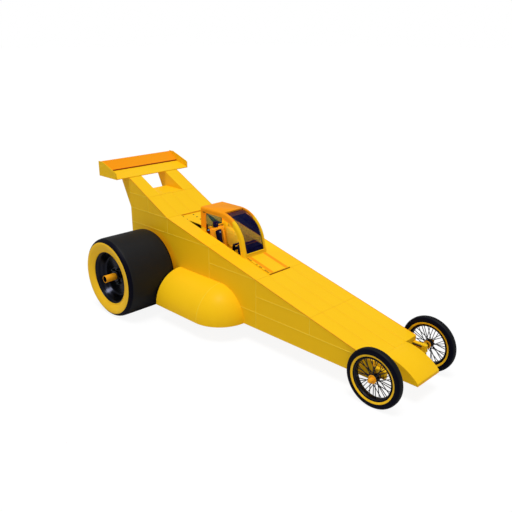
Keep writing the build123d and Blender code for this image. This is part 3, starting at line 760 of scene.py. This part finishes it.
# Inside seams on the cell's walls, and the pan's joints below
cellSeams = {
    "y": 0.1798, "heights": [1.01, 0.81, 0.61], "front": -0.005, "rear": -1.195, "foot": 0.22,
    "clear": 0.01, "bead": 2.0, "panBead": 1.6,
}
innerRuns = []
for side in (-1, 1):
    y = side * cellSeams["y"]
    for z in cellSeams["heights"]:
        reach = min(cellSeams["front"], topStation(z + cellSeams["clear"]))
        innerRuns.append([(cellSeams["rear"], y, z), (reach, y, z)])
    innerRuns.append([(cellJoint, y, z) for z in (cellSeams["foot"], cellTop - cellSeams["clear"])])
beadPiece("cell_seams", innerRuns, cellSeams["bead"], topSeamEnamel)
under = bodyLine["under"]
panRuns = [crossRun(x, under, half) for x in (hoodJoint, cowlJoint, cellJoint, bendJoint)]
panRuns += [[(bodyLine["tailX"], y, under), (bodyLine["frontX"], y, under)] for y in bodyLine["rows"][::2]]
beadPiece("pan_seams", panRuns, cellSeams["panBead"], topSeamEnamel)
print("corner, cell and pan seams laid")

# Engine cover: a closing strip at its rear edge, in a deeper orange that is painted shade, and quarter-turn
# fasteners with a slot in each head
cover = {
    "drop": 0.012, "stripX": -1.202, "half": 0.18, "stripLift": 0.006, "stripBead": 6.0,
    "middleX": [-1.16, -1.09, -1.02, -0.95, -0.86], "edgeX": [-1.17, -1.09], "edgeY": 0.165,
    "headRadius": 9.0, "headHalf": 0.003, "lean": 0.0007, "slotLong": 0.006, "slotWide": 0.0012,
    "slotLow": 0.0024, "slotHigh": 0.0042,
}


def coverTop(x):
    return topLine(x) - cover["drop"]


stripZ = coverTop(bendJoint) + cover["stripLift"]
beadPiece("cover_strip", [crossRun(cover["stripX"], stripZ, cover["half"])], cover["stripBead"], edgeShadeEnamel)
places = [(x, 0.0) for x in cover["middleX"]]
places += [(x, side * cover["edgeY"]) for x in cover["edgeX"] for side in (-1, 1)]
heads, slots = [], []
for x, y in places:
    z, high = coverTop(x), cover["headHalf"]
    heads.append(rodForm((x, y, z - high), (x + cover["lean"], y, z + high), cover["headRadius"], 20))
    slots.append(boxForm((x - cover["slotLong"], y - cover["slotWide"], z + cover["slotLow"]),
                         (x + cover["slotLong"], y + cover["slotWide"], z + cover["slotHigh"])))
meshPiece("cover_fasteners", joinForms(heads), [nutMetal])
meshPiece("fastener_slots", joinForms(slots), [sealRubber])

# Heat shields: plain black panels on the cell's walls, one each side of the engine
wallSheet = {"face": 0.1765, "back": 0.1795, "drop": 0.004}
shield = {"rear": -1.19, "front": -0.79, "low": 0.70}


def wallSheets(lowRun):
    # a sheet on each wall, from a low run of (x, z) places up to just under the body's top
    highRun = [(x, topLine(x) - wallSheet["drop"]) for x, z in lowRun]
    return joinForms([ribbonForm(highRun, lowRun, *sidePair(side, wallSheet["face"], wallSheet["back"]))
                      for side in (-1, 1)])


shieldRun = [(shield["rear"], shield["low"]), (shield["front"], shield["low"])]
meshPiece("heat_shields", wallSheets(shieldRun), [dashVinyl])

# Cell walls: a sheet over each wall with a rounded lower corner, in a duller yellow that is painted shade,
# with its moulding and its seam
panel = {
    "seamRear": -0.716, "seamFront": -0.41, "seamZ": 1.01, "front": -0.25, "cornerX": -0.60, "cornerZ": 0.96,
    "radius": 0.12, "steps": 12, "border": 0.012, "mouldingTop": 1.03, "mouldingY": 0.18, "moulding": 9.0,
    "seam": 2.6,
}


def panelEdge(grow):
    # the panel's lower edge as (x, z) places: a quarter round at the rear, then level to the front
    radius = panel["radius"] + grow
    run = [(panel["cornerX"] - radius * math.cos(turn), panel["cornerZ"] - radius * math.sin(turn))
           for turn in quarterTurn(panel["steps"])]
    return run + [(panel["front"], panel["cornerZ"] - radius)]


meshPiece("cell_wall_shade_panels", wallSheets(panelEdge(0.0)), [panelShadeEnamel])
edge = panelEdge(panel["border"])
edge.insert(0, (edge[0][0], panel["mouldingTop"]))
beadPiece("cell_mouldings", [[(x, side * panel["mouldingY"], z) for x, z in edge] for side in (-1, 1)],
          panel["moulding"], yellowEnamel)
# The panel seam's lighter enamel is a painted highlight.
seamRuns = [[(x, side * wallSheet["face"], panel["seamZ"]) for x in (panel["seamRear"], panel["seamFront"])]
            for side in (-1, 1)]
beadPiece("cell_panel_seams", seamRuns, panel["seam"], seamHighlightEnamel)
print("engine cover and cell walls dressed")

# Canopy crown: a flat roof, an arc through three (x, z) places of the side outline, then a straight leg
crown = {
    "rear": -0.7798, "roofZ": 1.402, "roofFront": -0.440, "brow": (-0.190, 1.321), "chin": (-0.035, 1.105),
    "footX": 0.008,
}


def arcCentre(a, b, c):
    # centre of the circle through three places
    d = 2 * (a[0] * (b[1] - c[1]) + b[0] * (c[1] - a[1]) + c[0] * (a[1] - b[1]))
    squares = [q[0] ** 2 + q[1] ** 2 for q in (a, b, c)]
    x = (squares[0] * (b[1] - c[1]) + squares[1] * (c[1] - a[1]) + squares[2] * (a[1] - b[1])) / d
    z = (squares[0] * (c[0] - b[0]) + squares[1] * (a[0] - c[0]) + squares[2] * (b[0] - a[0])) / d
    return x, z


crownStart = (crown["roofFront"], crown["roofZ"])
crownX, crownZ = arcCentre(crownStart, crown["brow"], crown["chin"])
crownRadius = math.dist((crownX, crownZ), crownStart)
chinX, chinZ = crown["chin"]
legRun = Vector((crown["footX"] - chinX, topLine(crown["footX"]) - chinZ)).normalized()
legOut = Vector((-legRun.y, legRun.x))


def crownTurn(x):
    # angle about the crown's centre at a station of the roof or the arc
    z = crown["roofZ"]
    if x > crown["roofFront"]:
        z = crownZ + math.sqrt(crownRadius ** 2 - (x - crownX) ** 2)
    return math.atan2(x - crownX, z - crownZ)


def crownRun(x0, x1, inset, steps=28):
    # (x, z) places along the crown, set in from the canopy's outside
    low, high, reach = crownTurn(x0), crownTurn(x1), crownRadius - inset
    turns = [low + (high - low) * k / steps for k in range(steps + 1)]
    return [(crownX + reach * math.sin(turn), crownZ + reach * math.cos(turn)) for turn in turns]


# Windscreen: curved acrylic set back in a painted reveal, with the roof's lip under its top
glass = {
    "top": -0.380, "half": 0.152, "sillX": 0.0035, "sill": 0.042, "set": 0.021, "thick": 0.004,
    "lap": 0.0008, "skin": 0.0006, "depth": 0.027, "reveal": 0.003, "header": -0.302, "headerSet": 0.031,
    "headerThick": 0.004, "split": -0.200, "bead": 1.8, "beadIn": 0.001, "steps": 30,
}
half, lap, reveal = glass["half"], glass["lap"], glass["reveal"]
sill = (glass["sillX"], topLine(glass["sillX"]) + glass["sill"])


def screenRun(inset):
    # (x, z) places from the screen's top to its sill
    foot = (sill[0] - legOut.x * inset, sill[1] - legOut.y * inset)
    return crownRun(glass["top"], chinX, inset, glass["steps"]) + [foot]


glassRun = screenRun(glass["set"])
screen = meshPiece("curved_screen", ribbonForm(glassRun, screenRun(glass["set"] + glass["thick"]),
                                               -half + lap, half - lap), [screenAcrylic], "canopy")
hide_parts("windscreen")
low, high = screenRun(glass["skin"]), screenRun(glass["depth"])
parts = [ribbonForm(low, high, *sidePair(side, half - lap, half + reveal)) for side in (-1, 1)]
for k, outward in ((0, Vector((-1, 0))), (-1, legRun)):
    ends = (outward * -lap, outward * reveal)
    outer, inner = ([(run[k][0] + end.x, run[k][1] + end.y) for end in ends] for run in (low, high))
    parts.append(ribbonForm(outer, inner, -half, half))
frameReveal = meshPiece("screen_reveal", joinForms(parts), [yellowEnamel, orangeEnamel], body="canopy")
for face in frameReveal.data.polygons:
    face.material_index = 1 if face.center.x < glass["split"] else 0
header = [(x, z) for x, z in screenRun(glass["headerSet"]) if x < glass["header"]]
headerLow = screenRun(glass["headerSet"] + glass["headerThick"])[:len(header)]
meshPiece("screen_header", ribbonForm(header, headerLow, -half, half), [orangeEnamel], "canopy")
beadY = half - glass["beadIn"]
beads = [[(x, y, z) for x, z in glassRun] for y in (-beadY, beadY)]
beads += [crossRun(x, z, half) for x, z in (glassRun[0], glassRun[-1])]
beadPiece("screen_gasket", beads, glass["bead"], sealRubber, "canopy")

# Canopy edges: the hood and frame are rounded along their sides, where the sheet is rolled over
roll = {
    "radius": 0.026, "half": 0.190, "steps": 8, "proud": 0.0004, "wall": 0.009, "split": -0.2,
    "roofX": -0.6, "arcSteps": 44, "legTop": 0.01, "legFoot": 0.004, "screenLap": 0.004, "seamGap": 0.0002,
}
up = Vector((0, 1))
rollPlaces = [(crown["rear"], crown["roofZ"], up), (roll["roofX"], crown["roofZ"], up)]
for x, z in crownRun(crown["roofFront"], chinX, 0.0, roll["arcSteps"]):
    rollPlaces.append((x, z, (Vector((x, z)) - Vector((crownX, crownZ))).normalized()))
legTop = Vector(crown["chin"]) + legRun * roll["legTop"]
legFoot = Vector((crown["footX"], topLine(crown["footX"]))) - legRun * roll["legFoot"]
rollPlaces += [(place.x, place.y, legOut) for place in (legTop, legFoot)]
radius, wall, edgeY = roll["radius"], roll["wall"], roll["half"]
reach = radius + roll["proud"]
section = [(edgeY - radius + reach * math.sin(turn), radius - reach * math.cos(turn))
           for turn in quarterTurn(roll["steps"])]
section += [(edgeY - wall, radius), (edgeY - radius, wall)]
edges = []
for side in (-1, 1):
    rings = []
    for x, z, out in rollPlaces:
        # beside the screen the rolled edge runs in as far as the reveal
        beside = x > glass["top"] - roll["screenLap"]
        firstY = (half + reveal if beside else section[0][0]) + roll["seamGap"]
        rings.append([Vector((x - out.x * inset, side * y, z - out.y * inset))
                      for y, inset in [(firstY, section[0][1])] + section[1:]])
    edges.append(loftForm(rings))
rolled = meshPiece("canopy_rolled_edges", joinForms(edges), [yellowEnamel, orangeEnamel], body="canopy")
colours = []
for one, two in zip(rollPlaces, rollPlaces[1:]):
    colours += [1 if (one[0] + two[0]) / 2 < roll["split"] else 0] * len(section)
rolled.data.polygons.foreach_set("material_index", (colours + [1, 0]) * 2)


# Hood and base rail: the solids again, opened further for the rear pane and the side windows
def openedCopy(name, nodeName, cutters, material, widthMm=0):
    # a copy of a CAD piece with windows cut in it, and its folded edges given their radius
    piece = placeObject(name, frame["nodes"][nodeName].data.copy())
    weldPoints(piece)
    tools = []
    for form in cutters:
        tools.append(placeObject("cutter", cleanMesh("cutter", form)))
        addModifier(piece, "BOOLEAN", object=tools[-1], operation="DIFFERENCE", solver="EXACT")
    freezeModifiers(piece)
    for tool in tools:
        bpy.data.objects.remove(tool)
    shadeSmooth(piece.data, 30)
    piece.data.materials.clear()
    piece.data.materials.append(material)
    if widthMm:
        softenEdges(piece, widthMm)
    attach(piece, "canopy")
    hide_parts(nodeName)


# The solids' own openings reach to solidRear and solidTop, and their rail is solidRail high
opening = {
    "rear": -0.692, "solidRear": -0.681, "top": 1.339, "solidTop": 1.30, "topLap": 0.01, "band": 0.062,
    "bandRear": -0.44, "bandFront": -0.30, "rail": 0.003, "solidRail": 0.051, "footX": -0.0623,
    "footTopX": -0.0705, "walls": ((-0.2, -0.172), (0.172, 0.2)), "endWall": (-0.80, -0.764),
    "railRadius": 2.0, "bandSteps": 8,
}
rear = {
    "x": -0.780, "half": 0.156, "low": 1.118, "high": 1.346, "lip": 0.002, "glass": 0.005,
    "gasket": 2.5, "gasketOut": 0.0005,
}
sideRear, sideTop, sideFoot = opening["rear"], opening["top"], opening["footX"]
deckZ = topLine(sideRear)
lowEdge = [(x, topLine(x) + opening["rail"]) for x in (sideRear, sideFoot)]
highEdge = [(x, topLine(x) + opening["solidRail"]) for x in (sideRear, opening["footTopX"])]
railCutters = [ribbonForm(lowEdge, highEdge, y0, y1) for y0, y1 in opening["walls"]]
rearCutter = boxForm((opening["endWall"][0], -rear["half"], rear["low"]),
                     (opening["endWall"][1], rear["half"], rear["high"] - rear["lip"]))
raised = crownRun(opening["bandRear"], opening["bandFront"], opening["band"], opening["bandSteps"])
raised = [(sideRear, sideTop)] + [(x, min(z, sideTop)) for x, z in raised]
wallTop = sideTop - opening["topLap"]
hoodCutters = [rearCutter]
for y0, y1 in opening["walls"]:
    hoodCutters.append(ribbonForm(raised, [(x, opening["solidTop"]) for x, z in raised], y0, y1))
    hoodCutters.append(boxForm((sideRear, y0, deckZ), (opening["solidRear"], y1, wallTop)))
openedCopy("hood_shell", "canopy_hood", hoodCutters, orangeEnamel)
openedCopy("base_rail", "canopy_base", railCutters + [rearCutter], yellowEnamel,
           opening["railRadius"])

# Rear pane, with rubber all round its edge
rearPane = meshPiece("rear_pane", boxForm(
    (rear["x"], -rear["half"], rear["low"]),
    (rear["x"] + rear["glass"], rear["half"], rear["high"])), [rearAcrylic], "canopy")
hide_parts("rear_window")
gasketX = rear["x"] - rear["gasketOut"]
corners = crossRun(gasketX, rear["low"], rear["half"])
corners += reversed(crossRun(gasketX, rear["high"], rear["half"]))
beadPiece("rear_pane_gasket", [corners], rear["gasket"], sealRubber, "canopy", closed=True)

# Left pane, to the outline of its opening, with rubber from the top of its rear edge forward
pane = {
    "rail": 0.0045, "outer": 0.189, "glass": 0.005, "bandFront": -0.06, "step": 0.012, "clear": 0.002,
    "gasket": 2.0, "gasketY": 0.1905,
}
edge = [(x, z) for x, z in crownRun(opening["bandRear"], pane["bandFront"], opening["band"])
        if topLine(x) + pane["rail"] < z < sideTop - pane["clear"]]
edge = [(sideRear, sideTop), (edge[0][0] - pane["step"], sideTop)] + edge
footZ = topLine(sideFoot) + pane["rail"]
paneTop = edge + [(sideFoot, footZ + pane["clear"])]
paneLow = [(x, topLine(x) + pane["rail"]) for x, z in paneTop]
sidePane = meshPiece("side_pane", ribbonForm(paneTop, paneLow, pane["outer"] - pane["glass"], pane["outer"]),
                     [sideAcrylic], "canopy")
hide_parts("side_window")
gasketRun = [(x, pane["gasketY"], z) for x, z in edge + [(sideFoot, footZ)]]
beadPiece("side_pane_gasket", [gasketRun], pane["gasket"], sealRubber, "canopy")

# Fittings: a seal low on the right rear post, a drip slot high on each side of the hood, and hinge
# barrels behind its foot
hood = {
    "sealLow": (-0.706, -0.1735, 1.125), "sealHigh": (-0.697, -0.150, 1.182),
    "slotRear": -0.741, "slotFront": -0.691, "slotLow": 1.338, "slotHigh": 1.348, "slotIn": 0.189,
    "slotOut": 0.1908, "hinge": Vector((-0.7835, 0.0, 1.1085)), "hingeY": 0.115, "hingeHalf": 0.035,
    "hingeRadius": 5.5, "knuckles": ((-1.0, -0.36), (-0.32, 0.32), (0.36, 1.0)),
}
meshPiece("post_seal", boxForm(hood["sealLow"], hood["sealHigh"]), [sealRubber], "canopy")
slots, barrels = [], []
for side in (-1, 1):
    y0, y1 = sidePair(side, hood["slotIn"], hood["slotOut"])
    slots.append(boxForm((hood["slotRear"], y0, hood["slotLow"]), (hood["slotFront"], y1, hood["slotHigh"])))
    for ends in hood["knuckles"]:
        start, end = (hood["hinge"] + Vector((0, side * hood["hingeY"] + share * hood["hingeHalf"], 0))
                      for share in ends)
        barrels.append(rodForm(start, end, hood["hingeRadius"]))
meshPiece("hood_slots", joinForms(slots), [sealRubber], "canopy")
meshPiece("canopy_hinges", joinForms(barrels), [steelMetal])
print("canopy dressed")

# Seat: two cushions and a headrest, sewn covers over foam, swollen by a short cloth run
cushion = {
    "voxel": 0.006, "frames": 20, "pressure": 4.0, "cap": 0.007, "channel": 0.005, "channelWidth": 0.007,
    "hip": Vector((-0.560, 0, 0.440)), "back": Vector((-0.696, 0, 1.105)), "knee": Vector((-0.200, 0, 0.470)),
    "margin": 0.018, "thick": 0.045, "half": 0.050, "pitch": 0.085, "shrink": 0.006, "roundShare": 0.3,
    "flat": 0.0005, "fill": 0.7, "weltLift": 0.80, "weltIn": 0.003, "weltCut": 0.012, "welt": 2.2,
}


def cushionPiece(name, low, along, out, size, channels):
    # low is the middle of the lowest edge; along and out are its run and the way it faces
    long, half, thick = size
    shrink = cushion["shrink"]
    points = [low + along * u + Vector((0, v, 0)) + out * w for u in (shrink, long - shrink)
              for v in (-half + shrink, half - shrink) for w in (0.001, thick - shrink)]
    faces = boxForm((0, 0, 0), (1, 1, 1))[1]
    piece = meshPiece(name, (points, faces), [blackVinyl], sharpDeg=60)
    addModifier(piece, "BEVEL", width=thick * cushion["roundShare"], segments=4)
    addModifier(piece, "REMESH", mode="VOXEL", voxel_size=cushion["voxel"])
    freezeModifiers(piece)
    before = [v.co.copy() for v in piece.data.vertices]
    cloth = addModifier(piece, "CLOTH").settings
    setAll(cloth, use_pressure=True, uniform_pressure_force=cushion["pressure"], quality=5)
    cloth.effector_weights.gravity = 0.0
    for frameNumber in range(1, cushion["frames"] + 1):
        scene.frame_set(frameNumber)
    freezeModifiers(piece)
    scene.frame_set(1)
    for vertex, start in zip(piece.data.vertices, before):
        move = vertex.co - start
        if move.length > cushion["cap"]:
            move = move.normalized() * cushion["cap"]
        place = start + move
        u, w = (place - low).dot(along), (place - low).dot(out)
        # the back stays flat on the shell, and the sewn channels pull the face in
        if w < cushion["flat"]:
            place -= out * (w - cushion["flat"])
        for line in channels:
            pull = cushion["channel"] * math.exp(-((u - line) / cushion["channelWidth"]) ** 2)
            place -= out * pull * min(1.0, max(0.0, w / thick))
        vertex.co = place
    addModifier(piece, "SUBSURF", levels=1, render_levels=1)
    freezeModifiers(piece)
    piece.data.polygons.foreach_set("use_smooth", [True] * len(piece.data.polygons))
    return piece


def pipingRun(low, along, out, size):
    # the welt where the cushion's face panel is sewn to its border, with its corners cut
    long, half, thick = size
    inset, cut = cushion["weltIn"], cushion["weltCut"]
    u0, u1, v1 = inset, long - inset, half - inset
    start = low + out * (thick * cushion["weltLift"])
    return [start + along * u + Vector((0, v, 0)) for u, v in (
        (u0 + cut, -v1), (u1 - cut, -v1), (u1, -v1 + cut), (u1, v1 - cut),
        (u1 - cut, v1), (u0 + cut, v1), (u0, v1 - cut), (u0, -v1 + cut))]


hip, thick = cushion["hip"], cushion["thick"]
backRun = (cushion["back"] - hip).normalized()
baseRun = (cushion["knee"] - hip).normalized()
backOut = Vector((backRun.z, 0, -backRun.x))
baseOut = Vector((-baseRun.z, 0, baseRun.x))
backLong = (cushion["back"] - hip).length - cushion["margin"] - thick
baseLong = (cushion["knee"] - hip).length - cushion["margin"]
backPad = (hip + backRun * thick, backRun, backOut, (backLong, cushion["half"], thick))
basePad = (hip, baseRun, baseOut, (baseLong, cushion["half"], thick))
head = {"rear": -0.748, "front": -0.690, "half": 0.041, "low": 1.105, "high": 1.194, "channel": 0.043}
headPad = (Vector((head["rear"], 0, head["low"])), Vector((0, 0, 1)), Vector((1, 0, 0)),
           (head["high"] - head["low"], head["half"], head["front"] - head["rear"]))
channels = [cushion["pitch"] * k for k in range(1, 7)]
backCushion = cushionPiece("back_cushion", *backPad, channels)
cushionPiece("base_cushion", *basePad, channels[:3])
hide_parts("seat_pad")
headCushion = cushionPiece("head_cushion", *headPad, [head["channel"]])
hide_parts("headrest")
beadPiece("cushion_piping", [pipingRun(*backPad), pipingRun(*basePad)], cushion["welt"], sealRubber,
          closed=True)

# Harness stud: a bright head on its washer, high on the back cushion
stud = {"place": Vector((-0.644, 0, 1.062)), "root": 0.012, "washer": (0.004, 11, 24), "head": (0.008, 6, 20)}
studRoot = stud["place"] - backOut * stud["root"]
rods = [rodForm(studRoot, stud["place"] + backOut * height, radius, sides)
        for height, radius, sides in (stud["washer"], stud["head"])]
meshPiece("harness_stud", joinForms(rods), [studMetal])
print("seat trimmed")

# Lamp: a cyan lens on a red bracket, on the cell's right wall beside the seat
lamp = {
    "place": Vector((-0.680, -0.157, 1.109)), "radius": 10.0, "stem": 8.0, "stemLow": 0.024,
    "stemHigh": 0.001, "bracketLow": (-0.722, -0.1795, 1.040), "bracketHigh": (-0.660, -0.142, 1.060),
    "plateLow": (-0.722, -0.1465, 1.05), "plateHigh": (-0.668, -0.142, 1.128), "edge": 2.0,
    "sides": 20, "rings": [(0.0, 1.0), (0.35, 0.94), (0.65, 0.76), (0.88, 0.48)],
}
place, sides = lamp["place"], lamp["sides"]
stem = [place + Vector((0, 0, rise)) for rise in (-lamp["stemLow"], lamp["stemHigh"])]
parts = [boxForm(lamp["bracketLow"], lamp["bracketHigh"]), boxForm(lamp["plateLow"], lamp["plateHigh"]),
         rodForm(*stem, lamp["stem"])]
softenEdges(meshPiece("lamp_bracket", joinForms(parts), [redEnamel]), lamp["edge"])
points, faces = [], []
for lift, share in lamp["rings"]:
    for turn in turnsRound(sides):
        spoke = Vector((share * math.cos(turn), share * math.sin(turn), lift))
        points.append(place + spoke * (lamp["radius"] * mm))
tip, last = len(points), len(points) - sides
points.append(place + Vector((0, 0, lamp["radius"] * mm)))
for low in range(0, last, sides):
    faces += ringFaces(low, low + sides, sides)
faces += [(last + k, last + (k + 1) % sides, tip) for k in range(sides)]
faces.append(range(sides))
meshPiece("lamp_lens", (points, faces), [cyanLens], sharpDeg=60)

# Dash: blank dials, switches and a painted edge trim
dash = {
    "x": -0.155, "dialZ": 0.965, "dialY": [-0.09, 0.0, 0.09], "bezel": (0.004, 0.006, 34, 40),
    "face": (0, 0.0068, 30, 40), "hub": (0, 0.0085, 4, 16), "switchY": [-0.06, -0.03, 0.03, 0.06],
    "switchZ": 0.895, "nut": (0.004, 0.004, 8, 6), "lever": (0, 0.020, 2.5, 12), "leverRise": 0.006,
    "half": 0.148, "trims": [(-0.156, 1.040), (-0.110, 1.030)], "trim": 4.5,
}


def dashRod(y, z, size, rise=0.0):
    # a rod out of the dash's face: how far it starts in and ends out, its radius and its sides
    back, out, radius, sides = size
    return rodForm((dash["x"] + back, y, z), (dash["x"] - out, y, z + rise), radius, sides)


bezels, dialFaces, switches = [], [], []
for y in dash["dialY"]:
    bezels += [dashRod(y, dash["dialZ"], dash["bezel"]), dashRod(y, dash["dialZ"], dash["hub"])]
    dialFaces.append(dashRod(y, dash["dialZ"], dash["face"]))
for y in dash["switchY"]:
    switches += [dashRod(y, dash["switchZ"], dash["nut"]),
                 dashRod(y, dash["switchZ"], dash["lever"], dash["leverRise"])]
for name, rods, material in (("dial_bezels", bezels, nutMetal), ("dial_faces", dialFaces, gaugeEnamel),
                             ("dash_switches", switches, studMetal)):
    meshPiece(name, joinForms(rods), [material])
trimRuns = [crossRun(x, z, dash["half"]) for x, z in dash["trims"]]
beadPiece("dash_trim", trimRuns, dash["trim"], orangeEnamel)

# Yoke grips: ribbed rubber sleeves on the steering yoke
grip = {
    "x": -0.340, "y": 0.050, "low": 0.872, "high": 0.960, "radius": 14.0, "core": 12.8, "ribs": 5,
    "rib": 0.0155, "sides": 20,
}
grips = []
for side in (-1, 1):
    x, y = grip["x"], side * grip["y"]
    for k in range(grip["ribs"]):
        z = grip["low"] + (grip["high"] - grip["low"]) * k / grip["ribs"]
        grips.append(rodForm((x, y, z), (x, y, z + grip["rib"]), grip["radius"], grip["sides"]))
    grips.append(rodForm((x, y, grip["low"]), (x, y, grip["high"]), grip["core"], grip["sides"]))
meshPiece("yoke_grips", joinForms(grips), [sealRubber])
print("cell fitted out")

# Lid hinge: a long rod on the lid's front edge, on the line it turns about; its dark rust colour is painted
# shade of the gap there
rod = crossRun(lid["hingeX"], topLine(lid["hingeX"]) + lid["hingeZ"], lid["half"])
meshPiece("lid_hinge_rod", rodForm(*rod, lid["hingeRadius"]), [rustAndGapShadeEnamel], "lid")

# Wing and nose: a red seal under the flap's front edge, and deeper orange lines on the lips that are painted
# shade. Each is its station, height and half length, then its radius in mm.
lips = {
    "flap_seal": (-2.2475, 1.688, 0.591, 8.5, redSeal, "trim"),
    "wing_lip_line": (-2.0005, 1.611, 0.6, 2.6, edgeShadeEnamel, "yellow"),
    "nose_lip_line": (2.4, 0.2125, 0.2, 2.6, edgeShadeEnamel, "yellow"),
}
for name, (x, z, long, radiusMm, material, slot) in lips.items():
    beadPiece(name, [crossRun(x, z, long)], radiusMm, material)

# Tail: the closing panel's seams, and a row of screws down each edge
tail = {
    "x": -2.0003, "seams": [0.41, 0.81, 1.21], "bead": 2.0, "screwY": 0.372, "screwLow": 0.26,
    "screwStep": 0.1, "screws": 11, "screwIn": 0.002, "screwOut": 0.0015, "radius": 6.0,
}
# The tail seams' lighter enamel is a painted highlight.
tailSeams = [crossRun(tail["x"], z, bodyLine["half"]) for z in tail["seams"]]
beadPiece("tail_seams", tailSeams, tail["bead"], seamHighlightEnamel)
screws = []
inner, outer = tail["x"] + tail["screwIn"], tail["x"] - tail["screwOut"]
for k in range(tail["screws"]):
    z = tail["screwLow"] + tail["screwStep"] * k
    for y in (-tail["screwY"], tail["screwY"]):
        screws.append(rodForm((inner, y, z), (outer, y, z), tail["radius"]))
meshPiece("tail_screws", joinForms(screws), [nutMetal])
print("wing, lid and tail finished")
